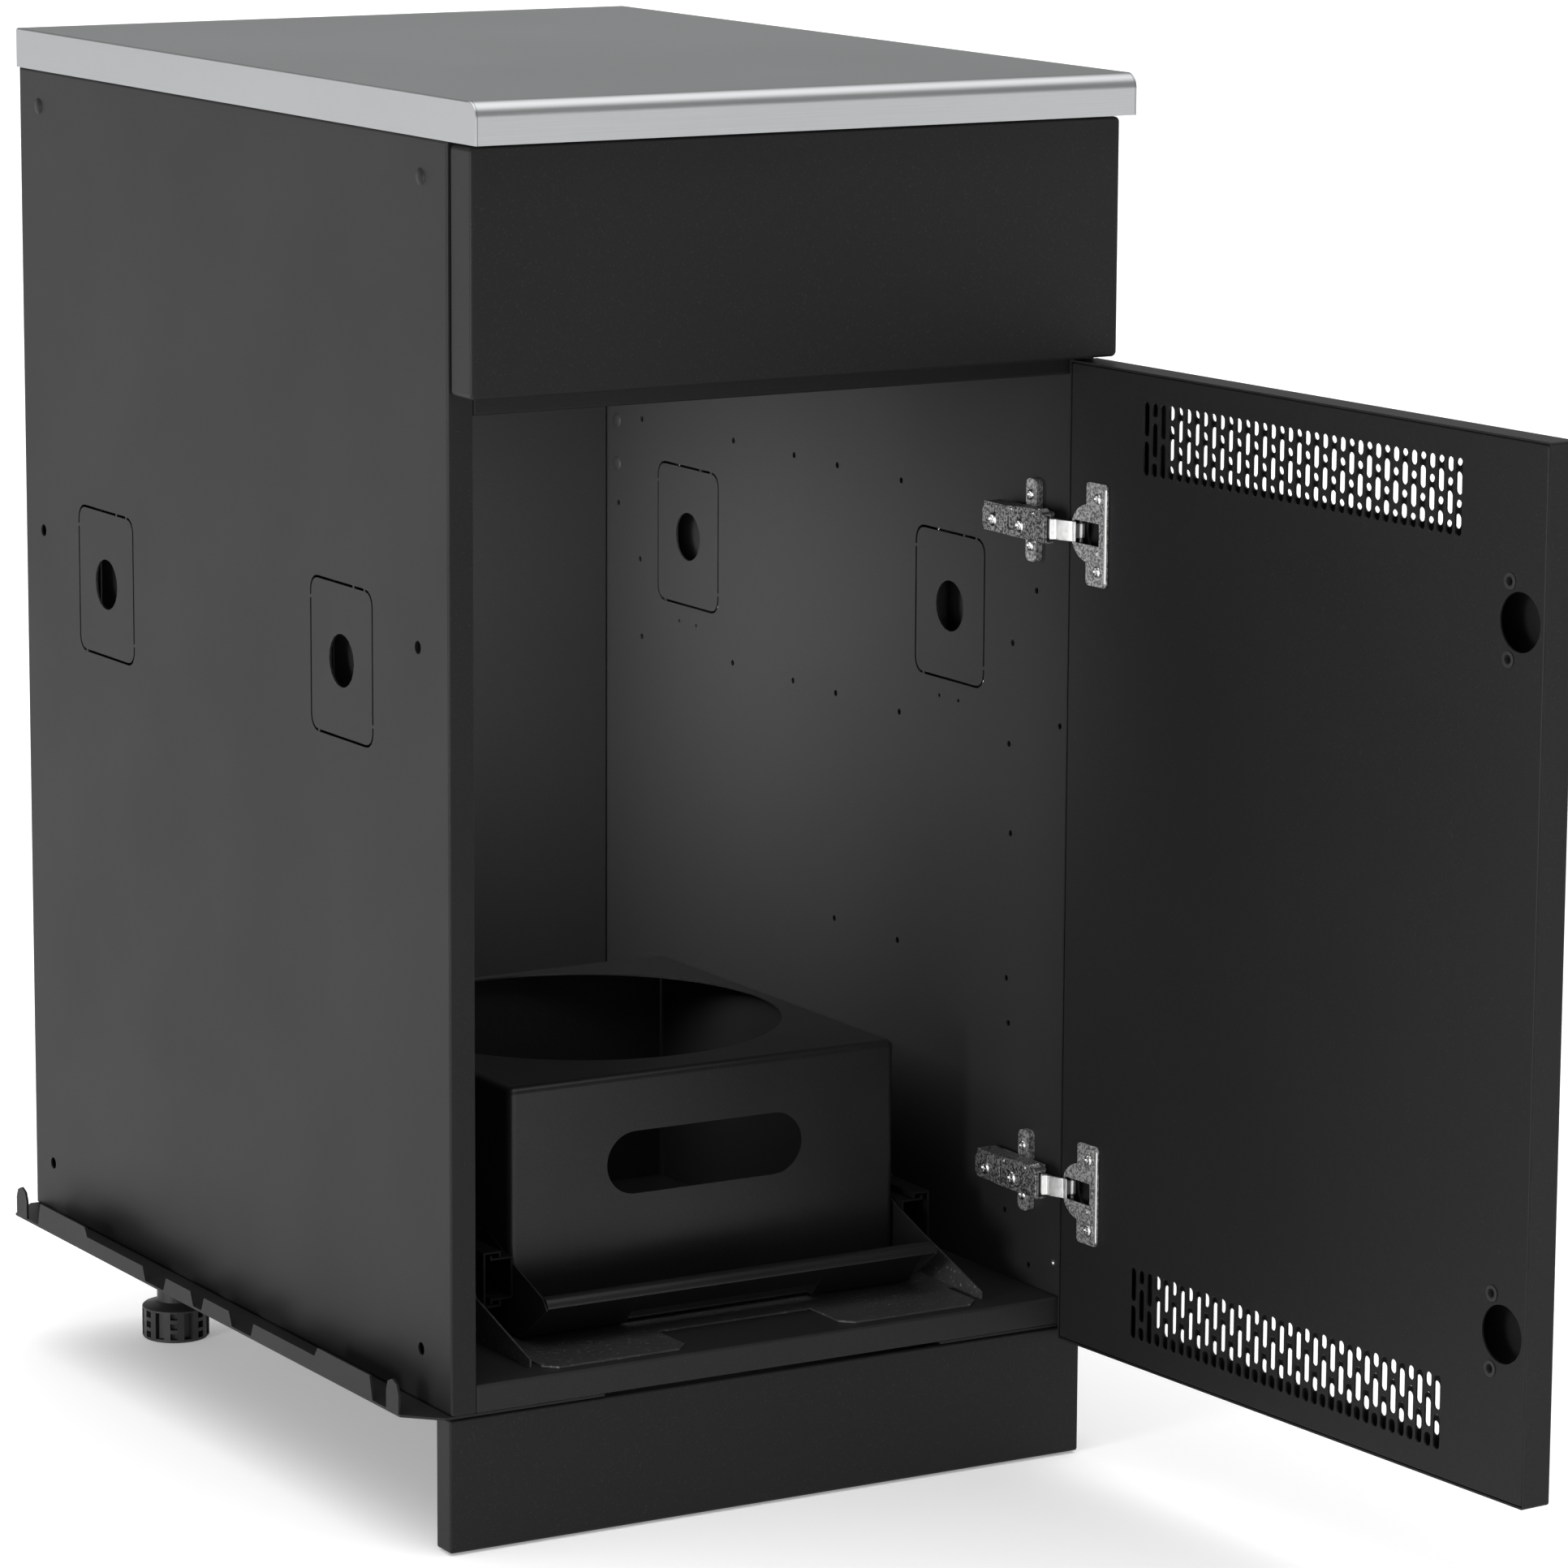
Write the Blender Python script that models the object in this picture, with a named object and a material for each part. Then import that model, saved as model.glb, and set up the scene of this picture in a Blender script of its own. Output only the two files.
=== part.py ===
"""Gas cylinder cabinet: a sheet steel base unit with a vented door on two cup hinges,
a cylinder tray on slides and four levelling feet. Lengths are in metres, +Z is up and
the front faces -Y. The cabinet is built with its front at y = 0 and is moved at the end,
so that the origin lies on the floor under the middle of the space it takes up."""
import math

import bmesh
import bpy
from mathutils import Matrix, Vector
from mathutils.geometry import delaunay_2d_cdt

# Overall size
body_width = 0.450
body_depth = 0.600
overall_height = 0.878
underside_height = 0.088

# Sheet metal
sheet = 0.0012
fold_radius = 0.0016
fold_steps = 3
fit_gap = 0.0003
round_steps = 20
arc_steps = 4
hole_steps = 6
small_steps = 10
sharp_angle = math.radians(32)
merge_tolerance = 1e-7
clean_distance = 0.00004
cut_overrun = 0.0024

# Worktop
worktop_thickness = 0.0254
worktop_front_overhang = 0.0396
worktop_side_overhang = 0.002
worktop_nose_radius = 0.0095
worktop_return = 0.012
stiffener_width = 0.060
stiffener_place_shares = (0.15, 0.80)

# Body panels
side_thickness = 0.0165
floor_thickness = 0.017
back_thickness = 0.013
front_rail_drop = 0.013
front_rail_depth = 0.020
back_rail_depth = 0.040
back_rail_height = 0.030

# Holes in the side walls, as shares of the depth and of the height between the hinges
fixing_hole_radius = 0.0022
outer_hole_radius = 0.0041
outer_hole_depth_shares = (0.065, 0.953)
outer_hole_height_shares = (-0.142, 0.889)
inner_hole_shares = (
    (0.898, 1.010), (0.690, 1.010), (0.557, 1.010), (0.465, 1.010), (0.332, 1.010),
    (0.898, 0.647), (0.690, 0.647), (0.557, 0.647), (0.465, 0.647), (0.332, 0.647),
    (0.112, 0.647), (0.465, 0.284), (0.332, 0.284), (0.112, 0.284),
    (0.902, 0.776), (0.953, 0.861), (0.107, 0.803), (0.107, 0.510), (0.107, 0.215),
    (0.110, -0.079), (0.062, 0.892), (0.062, -0.151), (0.0145, 0.696),
)
knockout_depth_shares = (0.2317, 0.7917)
knockout_height_share = 0.834
knockout_width = 0.082
knockout_height = 0.095
knockout_corner = 0.009
knockout_slot = 0.0017
knockout_tab = 0.0020
knockout_top_share = 0.30
knockout_side_share = 0.14
hose_hole_radius = 0.0165
key_hole_radius = 0.0014
key_hole_spacing = 0.023
key_hole_drop = 0.012

# Fascia above the door
fascia_reveal = 0.0013
fascia_height = 0.1469
fascia_top_gap = 0.0014
front_thickness = 0.0236
front_gap = 0.003
fascia_clip_size = 0.060
fascia_clip_place_share = 0.667

# Door
door_side_reveal = 0.0015
door_top_gap = 0.003
door_bottom_drop = 0.008
door_thickness = 0.0205
door_inner_depth = 0.012
door_open_angle = math.radians(94)

# Vent slots, alternate columns of two long slots and of short, long, short
vent_columns = 37
vent_pitch = 0.0081
vent_slot_width = 0.0058
vent_long_slot = 0.0213
vent_short_slot = 0.0088
vent_height = 0.0453
vent_edge_margin = 0.0176

# Cup hinges, with places in the closed door measured from its hinged edge
hinge_bottom_distance = 0.100
hinge_top_distance = 0.105
cup_radius = 0.0175
cup_edge_distance = 0.0225
cup_depth = 0.0118
cup_wall = 0.0008
cup_screw_spacing = 0.045
cup_screw_offset = 0.0095
flange_height = 0.064
flange_near_offset = 0.0025
flange_far_offset = 0.0185
flange_thickness = 0.0012
flange_corner = 0.003
flange_bulge_radius = 0.0180
mouth_near_offset = 0.0155
mouth_far_offset = 0.0105
mouth_height = 0.0172
hinge_pivot_wall_distance = 0.0125
hinge_pivot_y = 0.003
link_length = 0.0209
link_open_angle = math.radians(-57.2)
link_closed_angle = math.radians(-26.7)
link_height = 0.0156
link_tongue_height = 0.0090
link_thickness = 0.0022
link_tongue_thickness = 0.0019
link_knee_along_share = 0.86
link_knee_offset = 0.0062
link_shoulder_share = 0.75
pin_radius = 0.0011
eye_gap = 0.0002
eye_radius = 0.0023
arm_height = 0.0180
arm_thickness = 0.0010
arm_length = 0.069
arm_front = 0.0008
arm_nose_reach = 0.003
arm_web_wall_distance = 0.0185
arm_lift = 0.0010
arm_nose_length = 0.0085
plate_place = 0.037
plate_screw_spacing = 0.032
plate_wing_height = 0.052
plate_wing_width = 0.012
plate_wing_thickness = 0.0045
plate_wing_corner = 0.004
plate_block_length = 0.048
plate_block_front = 0.0165
plate_block_height = 0.0150
plate_block_depth = 0.0150

# Screws and inserts
screw_head_radius = 0.0035
screw_head_height = 0.0014
screw_shank_radius = 0.0018
screw_length = 0.0060
plate_screw_length = 0.0090
insert_flange_radius = 0.0049
insert_flange_height = 0.0006
insert_body_radius = 0.0038
insert_bore_radius = 0.00275
insert_length = 0.0050

# Base rails under the side walls, with a cut-out lip along the outer edge
rail_inner_margin = 0.032
rail_overhang = 0.0245
rail_thickness = 0.0015
rail_gap = 0.0003
rail_corner = 0.020
rail_boss_radius = 0.0090
rail_boss_height = 0.0075
lip_height = 0.015
lip_tab = 0.020
# The edge of the lip, from the middle of the rail: shares of half the depth and of the height
lip_edge_shares = (
    (0.020, 0), (0.033, 0.6), (0.153, 0.6), (0.167, 0), (0.257, 0),
    (0.270, 0.6), (0.553, 0.6), (0.567, 1), (0.800, 1), (0.813, 0),
)
lip_tab_share = 0.900
lip_tab_radius = 0.008

# Toe kick
toe_front = 0.002
toe_floor_gap = 0.0015
toe_top_gap = 0.003
toe_return = 0.017
toe_clip_width = 0.030
toe_clip_length = 0.025
toe_clip_tongue = 0.013

# Levelling feet
foot_side_distance = 0.073
foot_end_distance = 0.062
foot_radius = 0.0225
foot_drum_height = 0.0225
foot_sleeve_radius = 0.0125
foot_sleeve_drop = 0.0072
foot_crown_height = 0.0015
foot_rib_count = 12
foot_base_thickness = 0.012
foot_edge = 0.001
stud_radius = 0.0050
stud_bore_gap = 0.0003
stud_rise = 0.0023

# Cylinder tray
collar_hole_radius = 0.1275
collar_side_margin = 0.011
collar_front_margin = 0.0296
collar_back_margin = 0.0119
collar_front = 0.087
collar_rise = 0.157
collar_fold = 0.005
hand_slot_width = 0.140
hand_slot_height = 0.040
hand_slot_drop = 0.057
slide_space = 0.022
base_front = 0.050
base_tab_front = 0.008
base_tab_margin = 0.007
base_tab_width = 0.100
base_tab_corner = 0.008
cheek_front = 0.018
cheek_toe_height = 0.005
cheek_knee_length = 0.069
cheek_knee_height = 0.027
cheek_slope_length = 0.129
cheek_height = 0.071
slide_front = 0.080
slide_rise = 0.040
slide_outer_height = 0.035
slide_outer_depth = 0.0120
slide_lip = 0.0031
slide_running_gap = 0.0005
slide_hook = 0.0025
slide_inner_depth = 0.0142
pan_lift = 0.0025
pan_lip_front = 0.036
pan_lip_height = 0.0345
pan_lip_radius = 0.0065
pan_foot = 0.070
pan_step_place = 0.083
pan_step_height = 0.049
pan_side_place = 0.112
pan_side_height = 0.061
pan_notch_width = 0.134
pan_notch_height = 0.0075
pan_notch_depth = 0.0045

# Places worked out from the above
half_width = body_width / 2
side_inner = half_width - side_thickness
panel_reach = side_inner - fit_gap
body_top = overall_height - worktop_thickness - fit_gap
floor_top = underside_height + floor_thickness
fascia_top = body_top - fascia_top_gap
fascia_bottom = fascia_top - fascia_height
door_inner_face = -front_gap
door_edge = half_width - door_side_reveal
door_top = fascia_bottom - door_top_gap
door_bottom = underside_height - door_bottom_drop
hinge_heights = (door_bottom + hinge_bottom_distance, door_top - hinge_top_distance)
hinge_span = hinge_heights[-1] - hinge_heights[0]
knockout_middle = hinge_heights[0] + knockout_height_share * hinge_span
knockout_places = [(share * body_depth, knockout_middle) for share in knockout_depth_shares]
cup_x = door_edge - cup_edge_distance
screw_x = cup_x - cup_screw_offset
spare_x = -door_edge + cup_edge_distance
spare_screw_x = spare_x + cup_screw_offset
hinge_pivot_x = side_inner - hinge_pivot_wall_distance
hinge_pivot = Vector((hinge_pivot_x, hinge_pivot_y, 0))
arm_depth = arm_web_wall_distance - plate_wing_thickness - arm_lift
rail_top = underside_height - rail_gap
rail_bottom = rail_top - rail_thickness
foot_x = half_width - foot_side_distance
foot_crown_top = foot_drum_height + foot_crown_height
foot_sleeve_top = rail_bottom - foot_sleeve_drop
foot_places = (("front", foot_end_distance), ("rear", body_depth - foot_end_distance))
slide_height = floor_top + slide_rise
collar_top = floor_top + collar_rise
collar_reach = collar_hole_radius + collar_side_margin
collar_hole_y = collar_front + collar_front_margin + collar_hole_radius
collar_back = collar_hole_y + collar_hole_radius + collar_back_margin
tray_back = collar_back + fit_gap + sheet
pan_half_width = collar_reach + fit_gap + sheet
base_half_width = pan_half_width + slide_space


def polar(radius, angle):
    return Vector((radius * math.cos(angle), radius * math.sin(angle), 0))


door_pivot_closed = hinge_pivot + polar(link_length, link_closed_angle)
door_pivot_open = hinge_pivot + polar(link_length, link_open_angle)
open_door = (
    Matrix.Translation(door_pivot_open)
    @ Matrix.Rotation(door_open_angle, 4, "Z")
    @ Matrix.Translation(-door_pivot_closed)
)
open_door_reach = -(open_door @ Vector((-door_edge, door_inner_face, 0))).y
origin_y = (body_depth - open_door_reach) / 2

finish_looks = {
    "black_paint": ((0.018, 0.018, 0.019, 1), 0.0, 0.55),
    "steel": ((0.55, 0.56, 0.57, 1), 1.0, 0.35),
    "zinc": ((0.62, 0.62, 0.60, 1), 1.0, 0.30),
    "black_plastic": ((0.012, 0.012, 0.012, 1), 0.0, 0.60),
}


def new_material(name, finish):
    colour, metallic, roughness = finish_looks[finish]
    material = bpy.data.materials.new(name)
    material.use_nodes = True
    surface = material.node_tree.nodes["Principled BSDF"]
    surface.inputs["Base Color"].default_value = colour
    surface.inputs["Metallic"].default_value = metallic
    surface.inputs["Roughness"].default_value = roughness
    return material


def new_object(name, points, faces, finish):
    mesh = bpy.data.meshes.new(name)
    mesh.from_pydata([tuple(point) for point in points], [], faces)
    mesh.update()
    item = bpy.data.objects.new(name, mesh)
    bpy.context.scene.collection.objects.link(item)
    mesh.materials.append(new_material(name, finish))
    face_outwards(item)
    return item


def face_outwards(item):
    """Turns the whole skin inside out when its signed volume is negative."""
    mesh = item.data
    volume = 0.0
    for polygon in mesh.polygons:
        corners = [mesh.vertices[index].co for index in polygon.vertices]
        for second, third in zip(corners[1:], corners[2:]):
            volume += corners[0].dot(second.cross(third))
    if volume < 0:
        mesh.flip_normals()


def place(axis, along, u, v):
    """A point from its distance along one axis and its places on the other two."""
    point = [u, v]
    point.insert(axis, along)
    return Vector(point)


def loop_edges(start, count):
    return [(start + i, start + (i + 1) % count) for i in range(count)]


def fill(outline, holes):
    """Triangles that cover an outline without its holes, by index into all the points."""
    points = []
    loops = []
    for loop in [outline] + list(holes):
        loops.append(list(range(len(points), len(points) + len(loop))))
        points += list(loop)
    _, _, faces, sources, _, owners = delaunay_2d_cdt(
        [Vector(point) for point in points], [], loops, 1, merge_tolerance
    )
    return [
        tuple(sources[index][0] for index in face)
        for face, owner in zip(faces, owners)
        if list(owner) == [0]
    ]


def skin(rings, holes, face_levels, to_point):
    """Closes a stack of rings, each a level and an outline, with holes between its two ends."""
    points = []
    faces = []
    count = len(rings[0][1])
    for level, outline in rings:
        points += [to_point(level, u, v) for u, v in outline]
    for ring in range(len(rings) - 1):
        for i in range(count):
            j = (i + 1) % count
            a = ring * count
            b = a + count
            faces.append((a + i, a + j, b + j, b + i))
    starts = []
    for (level, outline), base, turned in (
        ((face_levels[0], rings[0][1]), 0, True),
        ((face_levels[1], rings[-1][1]), (len(rings) - 1) * count, False),
    ):
        hole_start = len(points)
        starts.append(hole_start)
        for hole in holes:
            points += [to_point(level, u, v) for u, v in hole]
        for triangle in fill(outline, holes):
            indices = [base + i if i < count else hole_start + i - count for i in triangle]
            faces.append(tuple(reversed(indices)) if turned else tuple(indices))
    offset = 0
    for hole in holes:
        for i, j in loop_edges(offset, len(hole)):
            first, last = starts
            faces.append((first + j, first + i, last + i, last + j))
        offset += len(hole)
    return points, faces


def plate(name, axis, low, high, outline, holes=(), finish="black_paint"):
    """A flat sheet: an outline with holes, drawn out from low to high along an axis."""
    outline = anticlockwise(outline)
    holes = [anticlockwise(hole) for hole in holes]
    rings = ((low, outline), (high, outline))
    points, faces = skin(rings, holes, (low, high), lambda level, u, v: place(axis, level, u, v))
    return new_object(name, points, faces, finish)


def anticlockwise(outline):
    area = sum(
        a[0] * b[1] - a[1] * b[0] for a, b in zip(outline, list(outline[1:]) + [outline[0]])
    )
    return list(outline) if area > 0 else list(reversed(outline))


def rectangle(low, high, inset=0.0):
    left, bottom = low[0] + inset, low[1] + inset
    right, top = high[0] - inset, high[1] - inset
    return [(left, bottom), (right, bottom), (right, top), (left, top)]


def pan(name, axis, face, end, low, high, holes=(), fold=fold_radius, finish="black_paint"):
    """A folded sheet: a flat face with a flange along each edge that reaches to end."""
    side = math.copysign(1, end - face)
    inner_fold = max(fold - sheet, 0)
    angles = [math.pi / 2 * step / fold_steps for step in range(fold_steps + 1)]
    rings = []
    for angle in reversed(angles):
        level = face + side * fold * (1 - math.sin(angle))
        rings.append((level, rectangle(low, high, fold * (1 - math.cos(angle)))))
    rings.append((end, rectangle(low, high)))
    rings.append((end, rectangle(low, high, sheet)))
    for angle in angles if inner_fold else angles[:1]:
        level = face + side * (sheet + inner_fold * (1 - math.sin(angle)))
        inset = sheet + inner_fold * (1 - math.cos(angle))
        rings.append((level, rectangle(low, high, inset)))
    holes = [anticlockwise(hole) for hole in holes]
    levels = (face, face + side * sheet)
    points, faces = skin(rings, holes, levels, lambda level, u, v: place(axis, level, u, v))
    return new_object(name, points, faces, finish)


def circle(u, v, radius, steps=round_steps):
    return [
        (u + radius * math.cos(math.tau * i / steps), v + radius * math.sin(math.tau * i / steps))
        for i in range(steps)
    ]


def arc(u, v, radius, start, end, steps=arc_steps):
    angles = [start + (end - start) * i / steps for i in range(steps + 1)]
    return [(u + radius * math.cos(a), v + radius * math.sin(a)) for a in angles]


def rounded(low, high, radius):
    """A rectangle with round corners."""
    quarter = math.pi / 2
    points = arc(high[0] - radius, high[1] - radius, radius, 0, quarter)
    points += arc(low[0] + radius, high[1] - radius, radius, quarter, 2 * quarter)
    points += arc(low[0] + radius, low[1] + radius, radius, 2 * quarter, 3 * quarter)
    points += arc(high[0] - radius, low[1] + radius, radius, 3 * quarter, 4 * quarter)
    return points


def band(path, width):
    """The outline of a strip of even width along a path."""
    left, right = [], []
    for i, point in enumerate(path):
        before = Vector(path[max(i - 1, 0)])
        after = Vector(path[min(i + 1, len(path) - 1)])
        here = Vector(point)
        steps = [step.normalized() for step in (here - before, after - here) if step.length]
        normals = [Vector((-step.y, step.x)) for step in steps]
        mean = sum(normals, Vector((0, 0))).normalized()
        offset = mean * (width / 2 / mean.dot(normals[0]))
        left.append(tuple(here + offset))
        right.append(tuple(here - offset))
    return left + right[::-1]


def turned(name, profile, centre, axis, direction=1, steps=round_steps, finish="zinc"):
    """A closed profile of radius and height, revolved about an axis through a centre."""
    points = []
    rows = []
    for radius, height in profile:
        count = steps if radius > 0 else 1
        rows.append([len(points) + i for i in range(count)])
        for i in range(count):
            angle = math.tau * i / steps
            offset = (radius * math.cos(angle), radius * math.sin(angle))
            points.append(Vector(centre) + place(axis, direction * height, *offset))
    faces = []
    closed = profile[0][0] > 0 or profile[-1][0] > 0
    pairs = list(zip(rows, rows[1:] + [rows[0]])) if closed else list(zip(rows, rows[1:]))
    for first, second in pairs:
        for i in range(steps):
            j = (i + 1) % steps
            corners = [first[i % len(first)], first[j % len(first)]]
            corners += [second[j % len(second)], second[i % len(second)]]
            corners = list(dict.fromkeys(corners))
            if len(corners) > 2:
                faces.append(tuple(corners))
    return new_object(name, points, faces, finish)


def combine(target, others, operation="UNION"):
    """Adds the other solids to the target, or takes them out of it, and removes them."""
    for other in others:
        step = target.modifiers.new(operation, "BOOLEAN")
        step.operation = operation
        step.solver = "EXACT"
        step.object = other
    bpy.context.view_layer.update()
    graph = bpy.context.evaluated_depsgraph_get()
    mesh = bpy.data.meshes.new_from_object(target.evaluated_get(graph))
    target.modifiers.clear()
    clean(mesh)
    target.data = mesh
    for other in others:
        bpy.data.objects.remove(other)
    return target


def clean(mesh):
    """Closes the hairline splits that a join can leave."""
    shape = bmesh.new()
    shape.from_mesh(mesh)
    bmesh.ops.remove_doubles(shape, verts=shape.verts, dist=clean_distance)
    bmesh.ops.dissolve_degenerate(shape, edges=shape.edges, dist=clean_distance)
    shape.to_mesh(mesh)
    shape.free()


def block(name, low, high, finish="black_paint"):
    return plate(name, 2, low[2], high[2], rectangle(low[:2], high[:2]), finish=finish)


def mirrored(outline, side):
    return [(side * u, v) for u, v in outline]


def span(a, b):
    return min(a, b), max(a, b)


def worktop_outline(inset):
    """The worktop from the side, with its round nose at the front."""
    front = -worktop_front_overhang + inset
    back = body_depth - inset
    bottom = overall_height - worktop_thickness
    top = overall_height - inset
    radius = worktop_nose_radius - inset
    points = [(front, bottom), (back, bottom), (back, top)]
    points += arc(front + radius, top - radius, radius, math.pi / 2, math.pi)
    return points


def build_worktop():
    reach = half_width + worktop_side_overhang
    angles = [math.pi / 2 * step / fold_steps for step in range(fold_steps + 1)]
    ends = [
        (reach - fold_radius * (1 - math.sin(a)), fold_radius * (1 - math.cos(a))) for a in angles
    ]
    rings = [(-x, worktop_outline(inset)) for x, inset in reversed(ends)]
    rings += [(x, worktop_outline(inset)) for x, inset in ends]
    points, faces = skin(
        rings, [], (rings[0][0], rings[-1][0]), lambda level, u, v: place(0, level, u, v)
    )
    top = new_object("worktop", points, faces, "steel")
    bottom = overall_height - worktop_thickness
    hollow_outline = [
        (y, max(z, bottom + sheet)) for y, z in worktop_outline(sheet)
    ]
    hollow = plate("hollow", 0, -reach + sheet, reach - sheet, hollow_outline)
    low = (
        -reach + worktop_return, -worktop_front_overhang + worktop_return, bottom - cut_overrun,
    )
    high = (reach - worktop_return, body_depth - worktop_return, bottom + cut_overrun)
    mouth = block("mouth", low, high)
    combine(top, [hollow, mouth], "DIFFERENCE")
    face = overall_height - sheet - fit_gap
    end_reach = reach - worktop_return - fit_gap
    for name, share in zip(("front", "rear"), stiffener_place_shares):
        start = share * body_depth - stiffener_width / 2
        low = (-end_reach, start)
        high = (end_reach, start + stiffener_width)
        pan("worktop_stiffener_" + name, 2, face, body_top + fit_gap, low, high, finish="steel")


def knockout_slots(y, z):
    """Five thin slots that mark out a knock-out plate, with a tab between each two."""
    left, right = y - knockout_width / 2, y + knockout_width / 2
    low, high = z - knockout_height / 2, z + knockout_height / 2
    corner = knockout_corner
    tab = knockout_tab / 2
    quarter = math.pi / 2
    top_break = left + knockout_width * knockout_top_share
    right_break = high - knockout_height * knockout_side_share
    left_break = low + knockout_height * knockout_side_share
    top_left = arc(left + corner, high - corner, corner, 2 * quarter, quarter)
    top_right = arc(right - corner, high - corner, corner, quarter, 0)
    low_right = arc(right - corner, low + corner, corner, 0, -quarter)
    low_left = arc(left + corner, low + corner, corner, -quarter, -2 * quarter)
    paths = (
        [(left, left_break + tab)] + top_left,
        [(left + corner + knockout_tab, high), (top_break - tab, high)],
        [(top_break + tab, high)] + top_right + [(right, right_break + tab)],
        [(right, right_break - tab)] + low_right,
        [(right - corner - knockout_tab, low)] + low_left + [(left, left_break - tab)],
    )
    return [band(path, knockout_slot) for path in paths]


def drill(depth_share, height_share, radius, steps=hole_steps):
    """One hole of a side wall, from its shares and its radius."""
    y = depth_share * body_depth
    z = hinge_heights[0] + height_share * hinge_span
    return circle(y, z, radius, steps)


def build_side(name, side):
    shared = []
    for y, z in knockout_places:
        shared += knockout_slots(y, z)
        shared.append(circle(y, z, hose_hole_radius))
    drilled = []
    for y in outer_hole_depth_shares:
        for z in outer_hole_height_shares:
            drilled.append(drill(y, z, outer_hole_radius, small_steps))
    pan(
        f"side_panel_{name}_outer", 0, side * half_width, side * side_inner,
        (0, underside_height), (body_depth, body_top), shared + drilled,
    )
    drilled = [drill(y, z, fixing_hole_radius) for y, z in inner_hole_shares]
    for y, z in knockout_places:
        low = z - knockout_height / 2 - key_hole_drop
        for offset in (-key_hole_spacing / 2, key_hole_spacing / 2):
            drilled.append(circle(y + offset, low, key_hole_radius, hole_steps))
    for height in hinge_heights:
        for offset in (-plate_screw_spacing / 2, plate_screw_spacing / 2):
            z = height + offset
            drilled.append(circle(plate_place, z, fixing_hole_radius, small_steps))
    inset = sheet + fit_gap
    outline = rectangle((0, underside_height), (body_depth, body_top), inset)
    low, high = span(side * side_inner, side * (side_inner + sheet))
    plate(f"side_panel_{name}_inner", 0, low, high, outline, shared + drilled)


def build_body():
    build_side("left", -1)
    build_side("right", 1)
    pan(
        "floor_panel", 2, floor_top, underside_height,
        (-panel_reach, 0), (panel_reach, body_depth),
    )
    back_face = body_depth - back_thickness
    pan(
        "back_panel", 1, back_face, body_depth,
        (-panel_reach, floor_top + fit_gap), (panel_reach, body_top),
    )
    pan(
        "front_rail", 1, 0, front_rail_depth,
        (-panel_reach, fascia_bottom - front_rail_drop), (panel_reach, body_top),
    )
    pan(
        "back_rail", 2, body_top, body_top - back_rail_height,
        (-panel_reach, back_face - fit_gap - back_rail_depth),
        (panel_reach, back_face - fit_gap),
    )


def build_fascia():
    front = door_inner_face - front_thickness
    reach = half_width - fascia_reveal
    pan(
        "fascia_panel", 1, front, door_inner_face,
        (-reach, fascia_bottom), (reach, fascia_top),
    )
    middle = (fascia_bottom + body_top) / 2
    half = fascia_clip_size / 2
    for name, side in (("left", -1), ("right", 1)):
        x = side * fascia_clip_place_share * half_width
        pan(
            "fascia_clip_" + name, 1, front + sheet + fit_gap, -fit_gap,
            (x - half, middle - half), (x + half, middle + half), finish="zinc",
        )


def vent_slot(x, z, height):
    half = vent_slot_width / 2
    low, high = z - height / 2, z + height / 2
    return [(x - half, low), (x + half, low), (x + half, high), (x - half, high)]


def vent_slots(middle):
    """One grid of vent slots about a height."""
    slots = []
    edge_long = (vent_height - vent_long_slot) / 2
    edge_short = (vent_height - vent_short_slot) / 2
    for column in range(vent_columns):
        x = (column - (vent_columns - 1) / 2) * vent_pitch
        if column % 2:
            slots.append(vent_slot(x, middle, vent_long_slot))
            slots.append(vent_slot(x, middle - edge_short, vent_short_slot))
            slots.append(vent_slot(x, middle + edge_short, vent_short_slot))
        else:
            slots.append(vent_slot(x, middle - edge_long, vent_long_slot))
            slots.append(vent_slot(x, middle + edge_long, vent_long_slot))
    return slots


def build_door():
    """The door, built closed: a painted outer pan with an inner pan pressed into it."""
    margin = vent_edge_margin + vent_height / 2
    vents = vent_slots(door_bottom + margin) + vent_slots(door_top - margin)
    outer_face = door_inner_face - door_thickness
    items = [
        pan(
            "door_outer", 1, outer_face, door_inner_face,
            (-door_edge, door_bottom), (door_edge, door_top), vents,
        )
    ]
    holes = list(vents)
    for height in hinge_heights:
        holes.append(circle(cup_x, height, cup_radius + fit_gap))
        holes.append(circle(spare_x, height, cup_radius))
        for offset in (-cup_screw_spacing / 2, cup_screw_spacing / 2):
            z = height + offset
            holes.append(circle(screw_x, z, fixing_hole_radius, small_steps))
            radius = insert_body_radius + fit_gap
            holes.append(circle(spare_screw_x, z, radius, small_steps))
    inset = sheet + fit_gap
    items.append(
        pan(
            "door_inner", 1, door_inner_face, door_inner_face - door_inner_depth,
            (-door_edge + inset, door_bottom + inset), (door_edge - inset, door_top - inset),
            holes, fold=sheet,
        )
    )
    profile = (
        (insert_bore_radius, -insert_flange_height),
        (insert_flange_radius, -insert_flange_height),
        (insert_flange_radius, 0),
        (insert_body_radius, 0),
        (insert_body_radius, insert_length),
        (insert_bore_radius, insert_length),
    )
    for level, height in zip(("lower", "upper"), hinge_heights):
        for end, offset in (("low", -cup_screw_spacing / 2), ("high", cup_screw_spacing / 2)):
            centre = (spare_screw_x, door_inner_face + fit_gap, height + offset)
            name = f"insert_{level}_{end}"
            items.append(turned(name, profile, centre, 1, -1, small_steps))
    return items


def screw(name, centre, axis, direction, length):
    profile = (
        (0, -screw_head_height),
        (screw_head_radius, -screw_head_height),
        (screw_head_radius, 0),
        (screw_shank_radius, 0),
        (screw_shank_radius, length),
        (0, length),
    )
    return turned(name, profile, centre, axis, direction, small_steps)


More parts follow.
